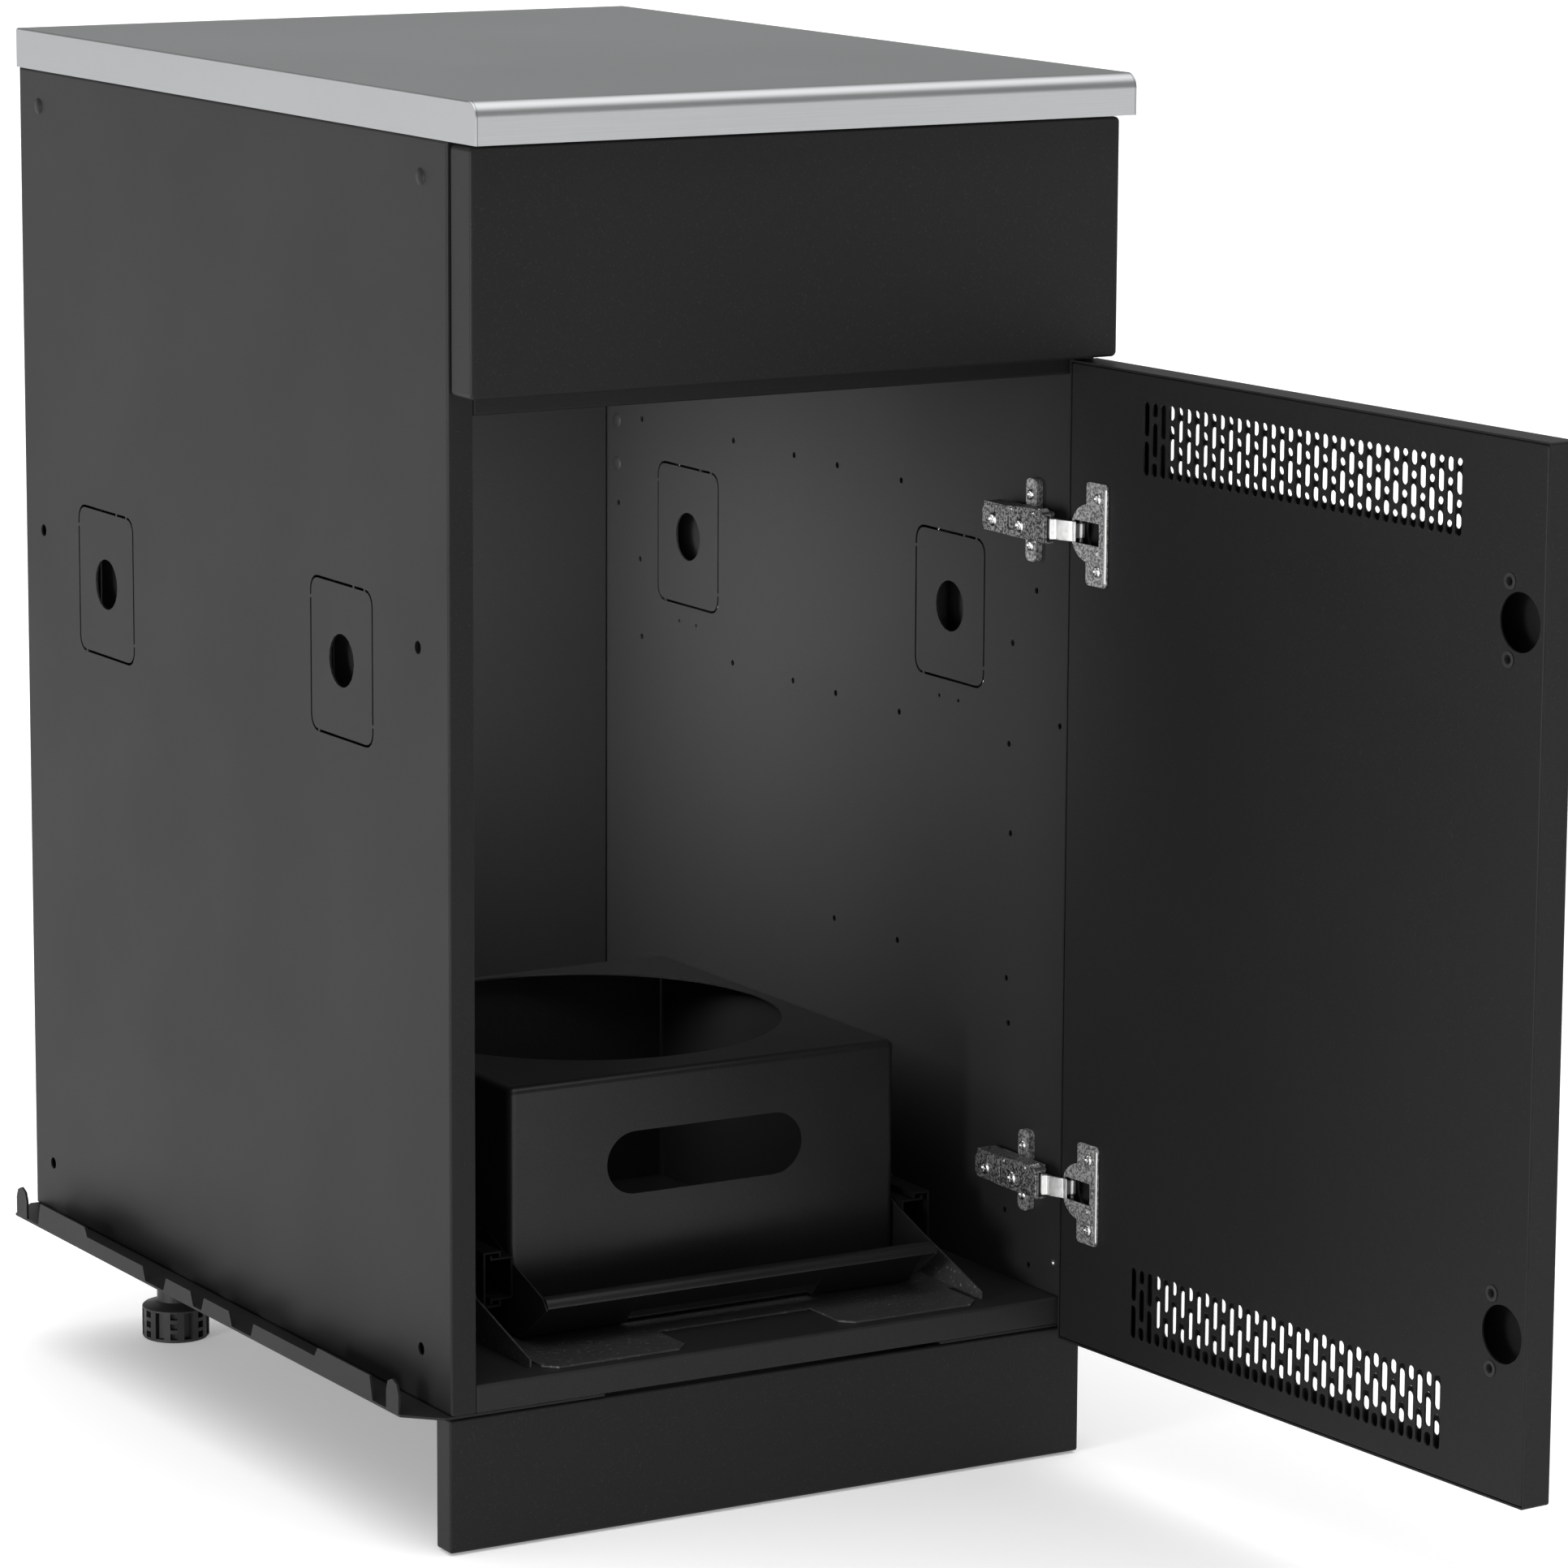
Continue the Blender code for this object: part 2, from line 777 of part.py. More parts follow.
def build_cup(level):
    """One hinge cup in the closed door, with its flange, pivot pin and two screws."""
    seat = door_inner_face + fit_gap
    top = seat + flange_thickness
    half = flange_height / 2
    near = cup_x + flange_near_offset
    far = cup_x - flange_far_offset
    start = math.acos(flange_near_offset / flange_bulge_radius)
    outline = arc(cup_x, 0, flange_bulge_radius, -start, start, small_steps)
    quarter = math.pi / 2
    corner = flange_corner
    outline += arc(near - corner, half - corner, corner, 0, quarter)
    outline += arc(far + corner, half - corner, corner, quarter, 2 * quarter)
    outline += arc(far + corner, corner - half, corner, 2 * quarter, 3 * quarter)
    outline += arc(near - corner, corner - half, corner, 3 * quarter, 4 * quarter)
    holes = []
    for offset in (-cup_screw_spacing / 2, cup_screw_spacing / 2):
        holes.append(circle(screw_x, offset, fixing_hole_radius, small_steps))
    near_radius = mouth_near_offset + cup_wall
    reach = math.asin(mouth_height / 2 / near_radius)
    mouth = arc(cup_x, 0, near_radius, -reach, reach)
    mouth += [
        (cup_x - mouth_far_offset, mouth_height / 2),
        (cup_x - mouth_far_offset, -mouth_height / 2),
    ]
    holes.append(mouth)
    flange = plate(f"hinge_cup_{level}", 1, seat, top, outline, holes, "zinc")
    inner = cup_radius - cup_wall
    overlap = flange_thickness / 2
    profile = (
        (0, -cup_depth),
        (cup_radius, -cup_depth),
        (cup_radius, fit_gap + overlap),
        (inner, fit_gap + overlap),
        (inner, -cup_depth + cup_wall),
        (0, -cup_depth + cup_wall),
    )
    cup = turned("cup", profile, (cup_x, door_inner_face, 0), 1)
    pin = turned(
        "pin", pin_profile(link_height / 2 + 2 * cup_wall),
        (door_pivot_closed.x, door_pivot_closed.y, 0), 2, steps=small_steps,
    )
    combine(flange, [cup, pin])
    items = [flange]
    for end, offset in (("low", -cup_screw_spacing / 2), ("high", cup_screw_spacing / 2)):
        centre = (screw_x, top + fit_gap, offset)
        items.append(screw(f"cup_screw_{level}_{end}", centre, 1, -1, screw_length))
    return items


def pin_profile(half_length):
    return ((0, -half_length), (pin_radius, -half_length), (pin_radius, half_length), (0, half_length))


def build_link(level):
    """The cranked link between arm and cup, in its place with the door open."""
    first = Vector((hinge_pivot.x, hinge_pivot.y))
    last = Vector((door_pivot_open.x, door_pivot_open.y))
    along = (last - first).normalized()
    across = Vector((-along.y, along.x))
    knee = first + along * (link_length * link_knee_along_share) - across * link_knee_offset
    shoulder = first + along * (link_length * link_knee_along_share / 2)
    shoulder -= across * (link_knee_offset * link_shoulder_share)
    middle = (shoulder + knee) / 2
    wide = band([tuple(first), tuple(shoulder), tuple(knee)], link_thickness)
    narrow = band([tuple(middle), tuple(knee), tuple(last)], link_tongue_thickness)
    half, tongue = link_height / 2, link_tongue_height / 2
    link = plate(f"hinge_link_{level}", 2, -half, half, wide, (), "zinc")
    others = [plate("tongue", 2, -tongue, tongue, narrow, (), "zinc")]
    for point, reach in ((first, half), (last, tongue)):
        eye = circle(point.x, point.y, eye_radius, small_steps)
        others.append(plate("eye", 2, -reach, reach, eye, (), "zinc"))
    combine(link, others)
    bores = []
    for point in (first, last):
        bore = circle(point.x, point.y, pin_radius + eye_gap, small_steps)
        bores.append(plate("bore", 2, -half - cut_overrun, half + cut_overrun, bore, (), "zinc"))
    combine(link, bores, "DIFFERENCE")
    return link


def build_arm(level):
    """The fixed arm, a channel over the mounting plate that ends in the pivot pin."""
    half = arm_height / 2
    inner = half - arm_thickness
    back = arm_front + arm_length
    web = side_inner - arm_web_wall_distance
    nose = hinge_pivot_y + arm_nose_length
    cheek = [
        (web, -arm_front), (hinge_pivot_x, -arm_front),
        (hinge_pivot_x + arm_nose_reach, hinge_pivot_y),
        (hinge_pivot_x + arm_nose_reach, nose),
        (web + arm_depth, nose + arm_nose_reach), (web + arm_depth, back), (web, back),
    ]
    arm = plate(f"hinge_arm_{level}", 2, -half, half, cheek, (), "zinc")
    low = (web + arm_thickness, -arm_front - cut_overrun, -inner)
    high = (web + arm_depth + cut_overrun, back + cut_overrun, inner)
    combine(arm, [block("channel", low, high)], "DIFFERENCE")
    pin = turned(
        "pin", pin_profile(half - arm_thickness / 2),
        (hinge_pivot_x, hinge_pivot_y, 0), 2, steps=small_steps,
    )
    combine(arm, [pin])
    return arm


def build_hinge_plate(level):
    """The mounting plate on the wall, two wings with a block that the arm sits over."""
    seat = side_inner - fit_gap
    face = seat - plate_wing_thickness
    half = plate_wing_height / 2
    width = plate_wing_width / 2
    outline = rounded(
        (plate_place - width, -half), (plate_place + width, half),
        plate_wing_corner,
    )
    holes = []
    for offset in (-plate_screw_spacing / 2, plate_screw_spacing / 2):
        holes.append(circle(plate_place, offset, fixing_hole_radius, small_steps))
    wings = plate(f"hinge_plate_{level}", 0, face, seat, outline, holes, "zinc")
    low = (seat - plate_block_depth, plate_block_front, -plate_block_height / 2)
    high = (
        seat - plate_wing_thickness / 4, plate_block_front + plate_block_length,
        plate_block_height / 2,
    )
    combine(wings, [block("bridge", low, high)])
    items = [wings]
    for end, offset in (("low", -plate_screw_spacing / 2), ("high", plate_screw_spacing / 2)):
        centre = (face - fit_gap, plate_place, offset)
        name = f"plate_screw_{level}_{end}"
        items.append(screw(name, centre, 0, 1, plate_screw_length))
    return items


def lip_outline():
    """The lip of a base rail from the side, even about the middle of the rail."""
    middle = body_depth / 2
    right = [
        (middle * (1 + along), rail_top + up * lip_height) for along, up in lip_edge_shares
    ]
    tab = middle * (1 + lip_tab_share)
    right.append((tab - lip_tab_radius, rail_top))
    right += arc(tab, rail_top + lip_tab - lip_tab_radius, lip_tab_radius, math.pi, 0)
    right.append((tab + lip_tab_radius, rail_top))
    right.append((body_depth - rail_corner, rail_top))
    right.append((body_depth - rail_corner, rail_bottom))
    left = [(2 * middle - y, z) for y, z in reversed(right)]
    return left + right


def build_rail(name, side):
    outer = half_width + rail_overhang
    inner = foot_x - rail_inner_margin
    outline = [
        (inner, 0), (outer - rail_corner, 0), (outer, rail_corner),
        (outer, body_depth - rail_corner), (outer - rail_corner, body_depth),
        (inner, body_depth),
    ]
    rail = plate(f"base_rail_{name}", 2, rail_bottom, rail_top, mirrored(outline, side))
    low, high = span(side * outer, side * (outer - rail_thickness))
    others = [plate("lip", 0, low, high, lip_outline())]
    bores = []
    for _, y in foot_places:
        x = side * foot_x
        middle = (rail_bottom + rail_top) / 2
        top = rail_top + rail_boss_height
        boss = circle(x, y, rail_boss_radius)
        others.append(plate("boss", 2, middle, top, boss))
        bore = circle(x, y, stud_radius + stud_bore_gap)
        bores.append(plate("bore", 2, rail_bottom - cut_overrun, top + cut_overrun, bore))
    combine(rail, others)
    combine(rail, bores, "DIFFERENCE")


def build_toe_kick():
    toe_top = underside_height - toe_top_gap
    pan(
        "toe_kick", 1, toe_front, toe_front + toe_return,
        (-half_width, toe_floor_gap), (half_width, toe_top),
    )
    back = toe_front + toe_return + fit_gap
    top = rail_bottom - fit_gap
    under = toe_top - sheet - fit_gap
    half = sheet / 2
    path = [
        (back + toe_clip_length, top - half), (back + half, top - half),
        (back + half, under - half), (back - toe_clip_tongue, under - half),
    ]
    for name, side in (("left", -1), ("right", 1)):
        x = side * foot_x
        reach = toe_clip_width / 2
        plate("toe_kick_clip_" + name, 0, x - reach, x + reach, band(path, sheet), (), "zinc")


def build_foot(name, x, y):
    bore = stud_radius + stud_bore_gap
    profile = (
        (0, 0),
        (foot_radius - foot_edge, 0),
        (foot_radius, foot_edge),
        (foot_radius, foot_drum_height - foot_edge),
        (foot_radius - foot_edge, foot_drum_height),
        (foot_sleeve_radius + foot_edge, foot_crown_top),
        (foot_sleeve_radius, foot_crown_top + foot_edge),
        (foot_sleeve_radius, foot_sleeve_top),
        (bore, foot_sleeve_top),
        (bore, foot_base_thickness),
        (0, foot_base_thickness),
    )
    pad = turned(
        f"foot_{name}_pad", profile, (x, y, 0), 2, steps=2 * foot_rib_count,
        finish="black_plastic",
    )
    stud_top = rail_top + rail_boss_height + stud_rise
    profile = (
        (0, foot_base_thickness + fit_gap),
        (stud_radius, foot_base_thickness + fit_gap),
        (stud_radius, stud_top),
        (0, stud_top),
    )
    stud = turned(f"foot_{name}_stud", profile, (x, y, 0), 2)
    return [pad, stud]


def build_tray_base():
    """The fixed base of the tray: a floor plate with two front tabs, between two cheeks."""
    low = floor_top + fit_gap
    outline = [(-base_half_width, tray_back), (-base_half_width, base_front)]
    outer = base_half_width - base_tab_margin
    inner = outer - base_tab_width
    tab = [
        (outer, base_front), (outer, base_tab_front + base_tab_corner),
        (outer - base_tab_corner, base_tab_front),
        (inner + base_tab_corner, base_tab_front),
        (inner, base_tab_front + base_tab_corner), (inner, base_front),
    ]
    outline += mirrored(tab, -1)
    outline += list(reversed(tab))
    outline += [(base_half_width, base_front), (base_half_width, tray_back)]
    base = plate("tray_base", 2, low, low + sheet, outline)
    cheek = [
        (cheek_front, low), (tray_back, low), (tray_back, low + cheek_height),
        (cheek_front + cheek_slope_length, low + cheek_height),
        (cheek_front + cheek_knee_length, low + cheek_knee_height),
        (cheek_front, low + cheek_toe_height),
    ]
    cheeks = []
    for side in (-1, 1):
        start, end = span(side * base_half_width, side * (base_half_width - sheet))
        cheeks.append(plate("cheek", 0, start, end, cheek))
    combine(base, cheeks)


def build_slides(name, side):
    """A fixed channel on the cheek with a moving channel inside it."""
    half = sheet / 2
    web = base_half_width - sheet - fit_gap - half
    mouth = web - slide_outer_depth + sheet
    reach = slide_outer_height / 2 - half
    lip = reach + half - slide_lip - half
    fixed = [
        (mouth, slide_height - lip), (mouth, slide_height - reach), (web, slide_height - reach),
        (web, slide_height + reach), (mouth, slide_height + reach), (mouth, slide_height + lip),
    ]
    near = pan_half_width + fit_gap + half
    far = near + slide_inner_depth
    narrow = lip - slide_running_gap - half
    wide = narrow + slide_hook
    moving = [
        (far, slide_height - wide), (far, slide_height - narrow), (near, slide_height - narrow),
        (near, slide_height + narrow), (far, slide_height + narrow), (far, slide_height + wide),
    ]
    rail = plate(
        f"slide_fixed_{name}", 1, slide_front, tray_back,
        mirrored(band(fixed, sheet), side),
    )
    runner = plate(
        f"slide_moving_{name}", 1, slide_front, tray_back,
        mirrored(band(moving, sheet), side),
    )
    return rail, runner


def build_tray():
    bottom = floor_top + fit_gap + sheet + pan_lift
    half = sheet / 2
    lip_top = floor_top + pan_lip_height + half
    radius = pan_lip_radius - half
    slope = math.radians(45)
    centre = (pan_lip_front + pan_lip_radius, lip_top + half - pan_lip_radius)
    curl = arc(*centre, radius, math.pi, slope)
    path = [(tray_back - half, lip_top), (tray_back - half, bottom + half)]
    path += [(pan_foot, bottom + half)]
    path += list(reversed(curl))
    reach = pan_half_width - half
    tray = plate("tray_pan", 0, -reach, reach, band(path, sheet))
    side_outline = [
        (centre[0], lip_top), (pan_step_place, floor_top + pan_step_height),
        (pan_side_place, floor_top + pan_side_height), (tray_back, floor_top + pan_side_height),
        (tray_back, bottom), (pan_foot - half, bottom),
        (pan_lip_front + half, lip_top - pan_lip_radius),
    ]
    sides = []
    for side in (-1, 1):
        start, end = span(side * pan_half_width, side * (pan_half_width - sheet))
        sides.append(plate("side", 0, start, end, side_outline))
    combine(tray, sides)
    low = (-pan_notch_width / 2, centre[0], bottom - cut_overrun)
    high = (pan_notch_width / 2, pan_foot + pan_notch_depth, bottom + pan_notch_height)
    combine(tray, [block("notch", low, high)], "DIFFERENCE")
    hole = circle(0, collar_hole_y, collar_hole_radius, 2 * round_steps)
    collar = pan(
        "tray_collar", 2, collar_top, bottom + sheet + fit_gap,
        (-collar_reach, collar_front), (collar_reach, collar_back), [hole], collar_fold,
    )
    middle = collar_top - hand_slot_drop
    slot = rounded(
        (-hand_slot_width / 2, middle - hand_slot_height / 2),
        (hand_slot_width / 2, middle + hand_slot_height / 2),
        hand_slot_height / 2,
    )
    cutter = plate("slot", 1, collar_front - cut_overrun, collar_front + cut_overrun, slot)
    combine(collar, [cutter], "DIFFERENCE")
    return [tray, collar]


def hang(items, point):
    """Moves the origin of each piece to a point, without moving its surface."""
    for item in items:
        item.data.transform(Matrix.Translation(-Vector(point)))
        item.location = point


def main():
    for item in list(bpy.data.objects):
        bpy.data.objects.remove(item)
    build_worktop()
    build_body()
    build_fascia()
    build_toe_kick()
    door_items = build_door()
    for level, height in zip(("lower", "upper"), hinge_heights):
        lift = Matrix.Translation((0, 0, height))
        cup_items = build_cup(level)
        link = build_link(level)
        for item in cup_items + build_hinge_plate(level) + [build_arm(level), link]:
            item.data.transform(lift)
        door_items += cup_items
        hang([link], hinge_pivot + Vector((0, 0, height)))
    for item in door_items:
        item.data.transform(open_door)
    hang(door_items, door_pivot_open)
    build_tray_base()
    tray_items = build_tray()
    for name, side in (("left", -1), ("right", 1)):
        build_rail(name, side)
        _, runner = build_slides(name, side)
        tray_items.append(runner)
        for place_name, y in foot_places:
            hang(build_foot(f"{place_name}_{name}", side * foot_x, y), (side * foot_x, y, 0))
    hang(tray_items, (0, collar_front, floor_top))
    for item in bpy.data.objects:
        item.location.y -= origin_y
        item.data.shade_smooth()
        item.data.set_sharp_from_angle(angle=sharp_angle)


main()
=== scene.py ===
"""Looks of the gas cylinder cabinet: finishes, finer pieces, stage, lights and camera."""
import math

import bmesh
import bpy
from mathutils import Matrix, Vector
from mathutils.geometry import delaunay_2d_cdt


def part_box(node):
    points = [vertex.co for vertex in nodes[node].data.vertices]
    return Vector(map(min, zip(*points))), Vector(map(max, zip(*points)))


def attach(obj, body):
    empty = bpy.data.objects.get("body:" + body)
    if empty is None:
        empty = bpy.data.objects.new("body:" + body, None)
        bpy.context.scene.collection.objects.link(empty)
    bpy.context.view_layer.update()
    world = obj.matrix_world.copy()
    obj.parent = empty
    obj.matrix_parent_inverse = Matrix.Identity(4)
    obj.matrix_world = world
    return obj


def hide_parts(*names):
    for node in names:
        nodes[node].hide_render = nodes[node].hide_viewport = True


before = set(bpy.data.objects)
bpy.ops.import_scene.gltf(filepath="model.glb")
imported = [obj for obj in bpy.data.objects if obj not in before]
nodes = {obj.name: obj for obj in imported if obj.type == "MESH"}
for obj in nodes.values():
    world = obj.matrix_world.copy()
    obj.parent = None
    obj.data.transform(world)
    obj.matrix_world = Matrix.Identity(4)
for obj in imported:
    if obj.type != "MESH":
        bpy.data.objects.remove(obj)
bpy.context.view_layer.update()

# Sizes of the body and the door, with the front of the body at y = 0 before all is moved
front_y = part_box("side_panel_left_outer")[0].y
half_width = 0.225
side_inner = 0.2085
body_depth = 0.600
floor_top = 0.105
sheet = 0.0012
gap = 0.0003
door_edge = 0.2235
door_low, door_high = 0.080, 0.701
door_face = -0.003
door_outside = -0.0235
door_inner_depth = 0.012
door_angle = math.radians(94)

# Vents of the door
vent_columns = 37
vent_pitch = 0.0081
vent_slot_width = 0.0058
vent_long_slot = 0.0213
vent_short_slot = 0.0088
vent_height = 0.0453
vent_edge_margin = 0.0176
vent_skew = 0.0006

# Hinges, with their pivots seen from above and their places in the closed door
hinges = (("lower", 0.180), ("upper", 0.596))
pivot = Vector((0.196, 0.003, 0))
link_length = 0.0209
open_angle = math.radians(-57.2)
closed_angle = math.radians(-26.7)
cup_edge_distance = 0.0225
cup_x = door_edge - cup_edge_distance
spare_x = -cup_x
cup_screws = (("low", -0.0225), ("high", 0.0225))
cup_screw_inset = 0.0095
cup_screw_hole = 0.0022

# Hole of the tray's collar, and places of a wall's hose holes
collar_hole_radius = 0.1275
collar_front_margin = 0.0296
hose_holes = (("front", 0.139), ("rear", 0.475))
hose_hole_height = 0.527

sides = ("left", "right")
fronts = ("front", "rear")
feet = [f"foot_{front}_{side}" for front in fronts for side in sides]
quarter = math.pi / 2

# Points closer than this become one, and round slot ends keep this much of a flat side
merge_distance = 1e-6
slot_flat = 1e-5

to_world = Matrix.Translation((0, front_y, 0))


def polar(radius, angle):
    return Vector((radius * math.cos(angle), radius * math.sin(angle), 0))


cup_pivot_closed = pivot + polar(link_length, closed_angle)
cup_pivot_open = pivot + polar(link_length, open_angle)
open_door = (
    to_world
    @ Matrix.Translation(cup_pivot_open)
    @ Matrix.Rotation(door_angle, 4, "Z")
    @ Matrix.Translation(-cup_pivot_closed)
)


# Materials

def tree_of(name):
    material = bpy.data.materials.new(name)
    material.use_nodes = True
    tree = material.node_tree
    surface = tree.nodes["Principled BSDF"]
    return material, tree, surface


def noise(tree, scale, detail, stretch=(1, 1, 1), rough=0.5):
    """A noise value over the object's own metres, stretched along chosen axes."""
    coordinates = tree.nodes.new("ShaderNodeTexCoord")
    mapping = tree.nodes.new("ShaderNodeMapping")
    mapping.inputs["Scale"].default_value = stretch
    tree.links.new(coordinates.outputs["Object"], mapping.inputs["Vector"])
    node = tree.nodes.new("ShaderNodeTexNoise")
    node.inputs["Scale"].default_value = scale
    node.inputs["Detail"].default_value = detail
    node.inputs["Roughness"].default_value = rough
    tree.links.new(mapping.outputs["Vector"], node.inputs["Vector"])
    return node.outputs["Fac"]


def ramp(tree, value, low, high, start=0.0, end=1.0):
    """Maps a value from one range to another, held inside it."""
    node = tree.nodes.new("ShaderNodeMapRange")
    node.inputs["From Min"].default_value = low
    node.inputs["From Max"].default_value = high
    node.inputs["To Min"].default_value = start
    node.inputs["To Max"].default_value = end
    tree.links.new(value, node.inputs["Value"])
    return node.outputs["Result"]


def blend_colour(tree, factor, first, second):
    """Mixes two colours, each a colour or a socket, by a value."""
    node = tree.nodes.new("ShaderNodeMix")
    node.data_type = "RGBA"
    tree.links.new(factor, node.inputs["Factor"])
    for socket, colour in ((node.inputs[6], first), (node.inputs[7], second)):
        if hasattr(colour, "is_linked"):
            tree.links.new(colour, socket)
        else:
            socket.default_value = (*colour, 1)
    return node.outputs[2]


def math_node(tree, operation, first, second):
    """Joins two values, each a number or a socket."""
    node = tree.nodes.new("ShaderNodeMath")
    node.operation = operation
    for socket, value in zip(node.inputs, (first, second)):
        if hasattr(value, "is_linked"):
            tree.links.new(value, socket)
        else:
            socket.default_value = value
    return node.outputs[0]


def edges(tree, radius):
    """Near one along sharp edges and zero on flat faces."""
    bevel = tree.nodes.new("ShaderNodeBevel")
    bevel.samples = 4
    bevel.inputs["Radius"].default_value = radius
    geometry = tree.nodes.new("ShaderNodeNewGeometry")
    dot = tree.nodes.new("ShaderNodeVectorMath")
    dot.operation = "DOT_PRODUCT"
    tree.links.new(bevel.outputs["Normal"], dot.inputs[0])
    tree.links.new(geometry.outputs["Normal"], dot.inputs[1])
    return ramp(tree, dot.outputs["Value"], 0.995, 0.90)


def bump(tree, surface, height, strength, distance):
    node = tree.nodes.new("ShaderNodeBump")
    node.inputs["Strength"].default_value = strength
    node.inputs["Distance"].default_value = distance
    tree.links.new(height, node.inputs["Height"])
    tree.links.new(node.outputs["Normal"], surface.inputs["Normal"])


def powder_coat(
    name, dark, light, speck_wear_highlight_colour, rough=(0.44, 0.48), grain=1400, depth=0.00006, wear_and_highlight_amount=0.5, shine=0.17,
):
    """Powder coat: faint mottle, orange peel and lighter edges, partly wear and partly a painted
    highlight.
    """
    material, tree, surface = tree_of(name)
    mottle = ramp(tree, noise(tree, 3.0, 3.0), 0.35, 0.65)
    colour = blend_colour(tree, mottle, dark, light)
    speck = ramp(tree, noise(tree, grain * 0.6, 2.0), 0.60, 0.72, 0.0, 0.35)
    colour = blend_colour(tree, speck, colour, speck_wear_highlight_colour)
    # Edges turn in patches towards the lighter speck colour: partly wear, partly a painted
    # highlight where the folds catch the light.
    edge = edges(tree, 0.0006)
    edge_patches = ramp(tree, noise(tree, 60, 4.0), 0.42, 0.62, 0.15, 1.0)
    edge_wear_and_highlight = math_node(tree, "MULTIPLY", math_node(tree, "MULTIPLY", edge, edge_patches), wear_and_highlight_amount)
    colour = blend_colour(tree, edge_wear_and_highlight, colour, speck_wear_highlight_colour)
    tree.links.new(colour, surface.inputs["Base Color"])
    cloud = ramp(tree, noise(tree, 9.0, 4.0), 0.3, 0.7, *rough)
    tree.links.new(cloud, surface.inputs["Roughness"])
    peel = noise(tree, grain, 2.0)
    bump(tree, surface, peel, 0.35, depth)
    surface.inputs["Specular IOR Level"].default_value = shine
    return material


def brushed(name, dark, light, stretch, rough, depth=0.00002, anisotropy=0.3, tint=1.0):
    """Rolled or brushed metal: fine grain along one axis, cloudy roughness, and edges lightened in
    colour as a painted highlight.
    """
    material, tree, surface = tree_of(name)
    grain = noise(tree, 1.0, 3.0, stretch, 0.6)
    cloud = noise(tree, 5.0, 3.0)
    colour = blend_colour(tree, ramp(tree, grain, 0.3, 0.7), dark, light)
    # Painted highlight: the colour is lightened along sharp edges.
    edge = math_node(tree, "MULTIPLY", edges(tree, 0.0005), 0.35)
    colour = blend_colour(tree, edge, colour, tuple(min(1, 1.25 * c) for c in light))
    tree.links.new(colour, surface.inputs["Base Color"])
    surface.inputs["Metallic"].default_value = 1.0
    surface.inputs["Anisotropic"].default_value = anisotropy
    surface.inputs["Specular Tint"].default_value = (tint, tint, tint, 1)
    half_grain = math_node(tree, "MULTIPLY", grain, 0.5)
    half_cloud = math_node(tree, "MULTIPLY", cloud, 0.5)
    mixed = math_node(tree, "ADD", half_grain, half_cloud)
    tree.links.new(ramp(tree, mixed, 0.3, 0.7, *rough), surface.inputs["Roughness"])
    bump(tree, surface, grain, 0.25, depth)
    return material


def cast_metal(name, dark, light, scale, metal=0.5, rough=(0.34, 0.55), depth=0.00010):
    """Plated die casting: mottled grain in colour, roughness and relief, with edges lightened in
    colour as a painted highlight.
    """
    material, tree, surface = tree_of(name)
    grain = noise(tree, scale, 4.0, rough=0.65)
    colour = blend_colour(tree, ramp(tree, grain, 0.44, 0.58), dark, light)
    # Painted highlight: sharp edges are mixed towards a pale grey.
    edge = math_node(tree, "MULTIPLY", edges(tree, 0.0004), 0.5)
    colour = blend_colour(tree, edge, colour, (0.62, 0.62, 0.61))
    tree.links.new(colour, surface.inputs["Base Color"])
    surface.inputs["Metallic"].default_value = metal
    cloud = ramp(tree, noise(tree, scale * 0.5, 3.0), 0.3, 0.7, *rough)
    tree.links.new(cloud, surface.inputs["Roughness"])
    bump(tree, surface, grain, 0.6, depth)
    return material


def moulded(name, dark, light, grain, depth):
    """Moulded plastic with a fine spark-eroded grain, and edges lightened in colour as a painted
    highlight.
    """
    material, tree, surface = tree_of(name)
    colour = blend_colour(tree, ramp(tree, noise(tree, 40, 3.0), 0.3, 0.7), dark, light)
    # Painted highlight: sharp edges are mixed towards a lighter colour.
    edge = math_node(tree, "MULTIPLY", edges(tree, 0.0004), 0.4)
    colour = blend_colour(tree, edge, colour, tuple(3 * c for c in light))
    tree.links.new(colour, surface.inputs["Base Color"])
    cloud = ramp(tree, noise(tree, 120, 3.0), 0.3, 0.7, 0.38, 0.55)
    tree.links.new(cloud, surface.inputs["Roughness"])
    bump(tree, surface, noise(tree, grain, 2.0), 0.4, depth)
    return material


paint = powder_coat(
    "black_powder_coat", (0.0112, 0.0112, 0.0114), (0.0123, 0.0123, 0.0125),
    (0.040, 0.040, 0.042),
)
# A lighter copy of the black powder coat for the panels inside the cabinet: painted light that
# brightens the shaded inside.
paint_inside_painted_light = powder_coat(
    "inner_powder_coat_painted_light", (0.0190, 0.0190, 0.0194), (0.0210, 0.0210, 0.0215),
    (0.050, 0.050, 0.052),
)
paint_tray = powder_coat(
    "tray_powder_coat", (0.0085, 0.0085, 0.0088), (0.0115, 0.0115, 0.0118),
    (0.055, 0.055, 0.057), rough=(0.30, 0.40), grain=1700, shine=0.35,
)
paint_rough = powder_coat(
    "textured_powder_coat", (0.030, 0.030, 0.0305), (0.050, 0.050, 0.0505),
    (0.340, 0.340, 0.342), rough=(0.38, 0.50), grain=700, depth=0.0006, wear_and_highlight_amount=0.2, shine=0.6,
)
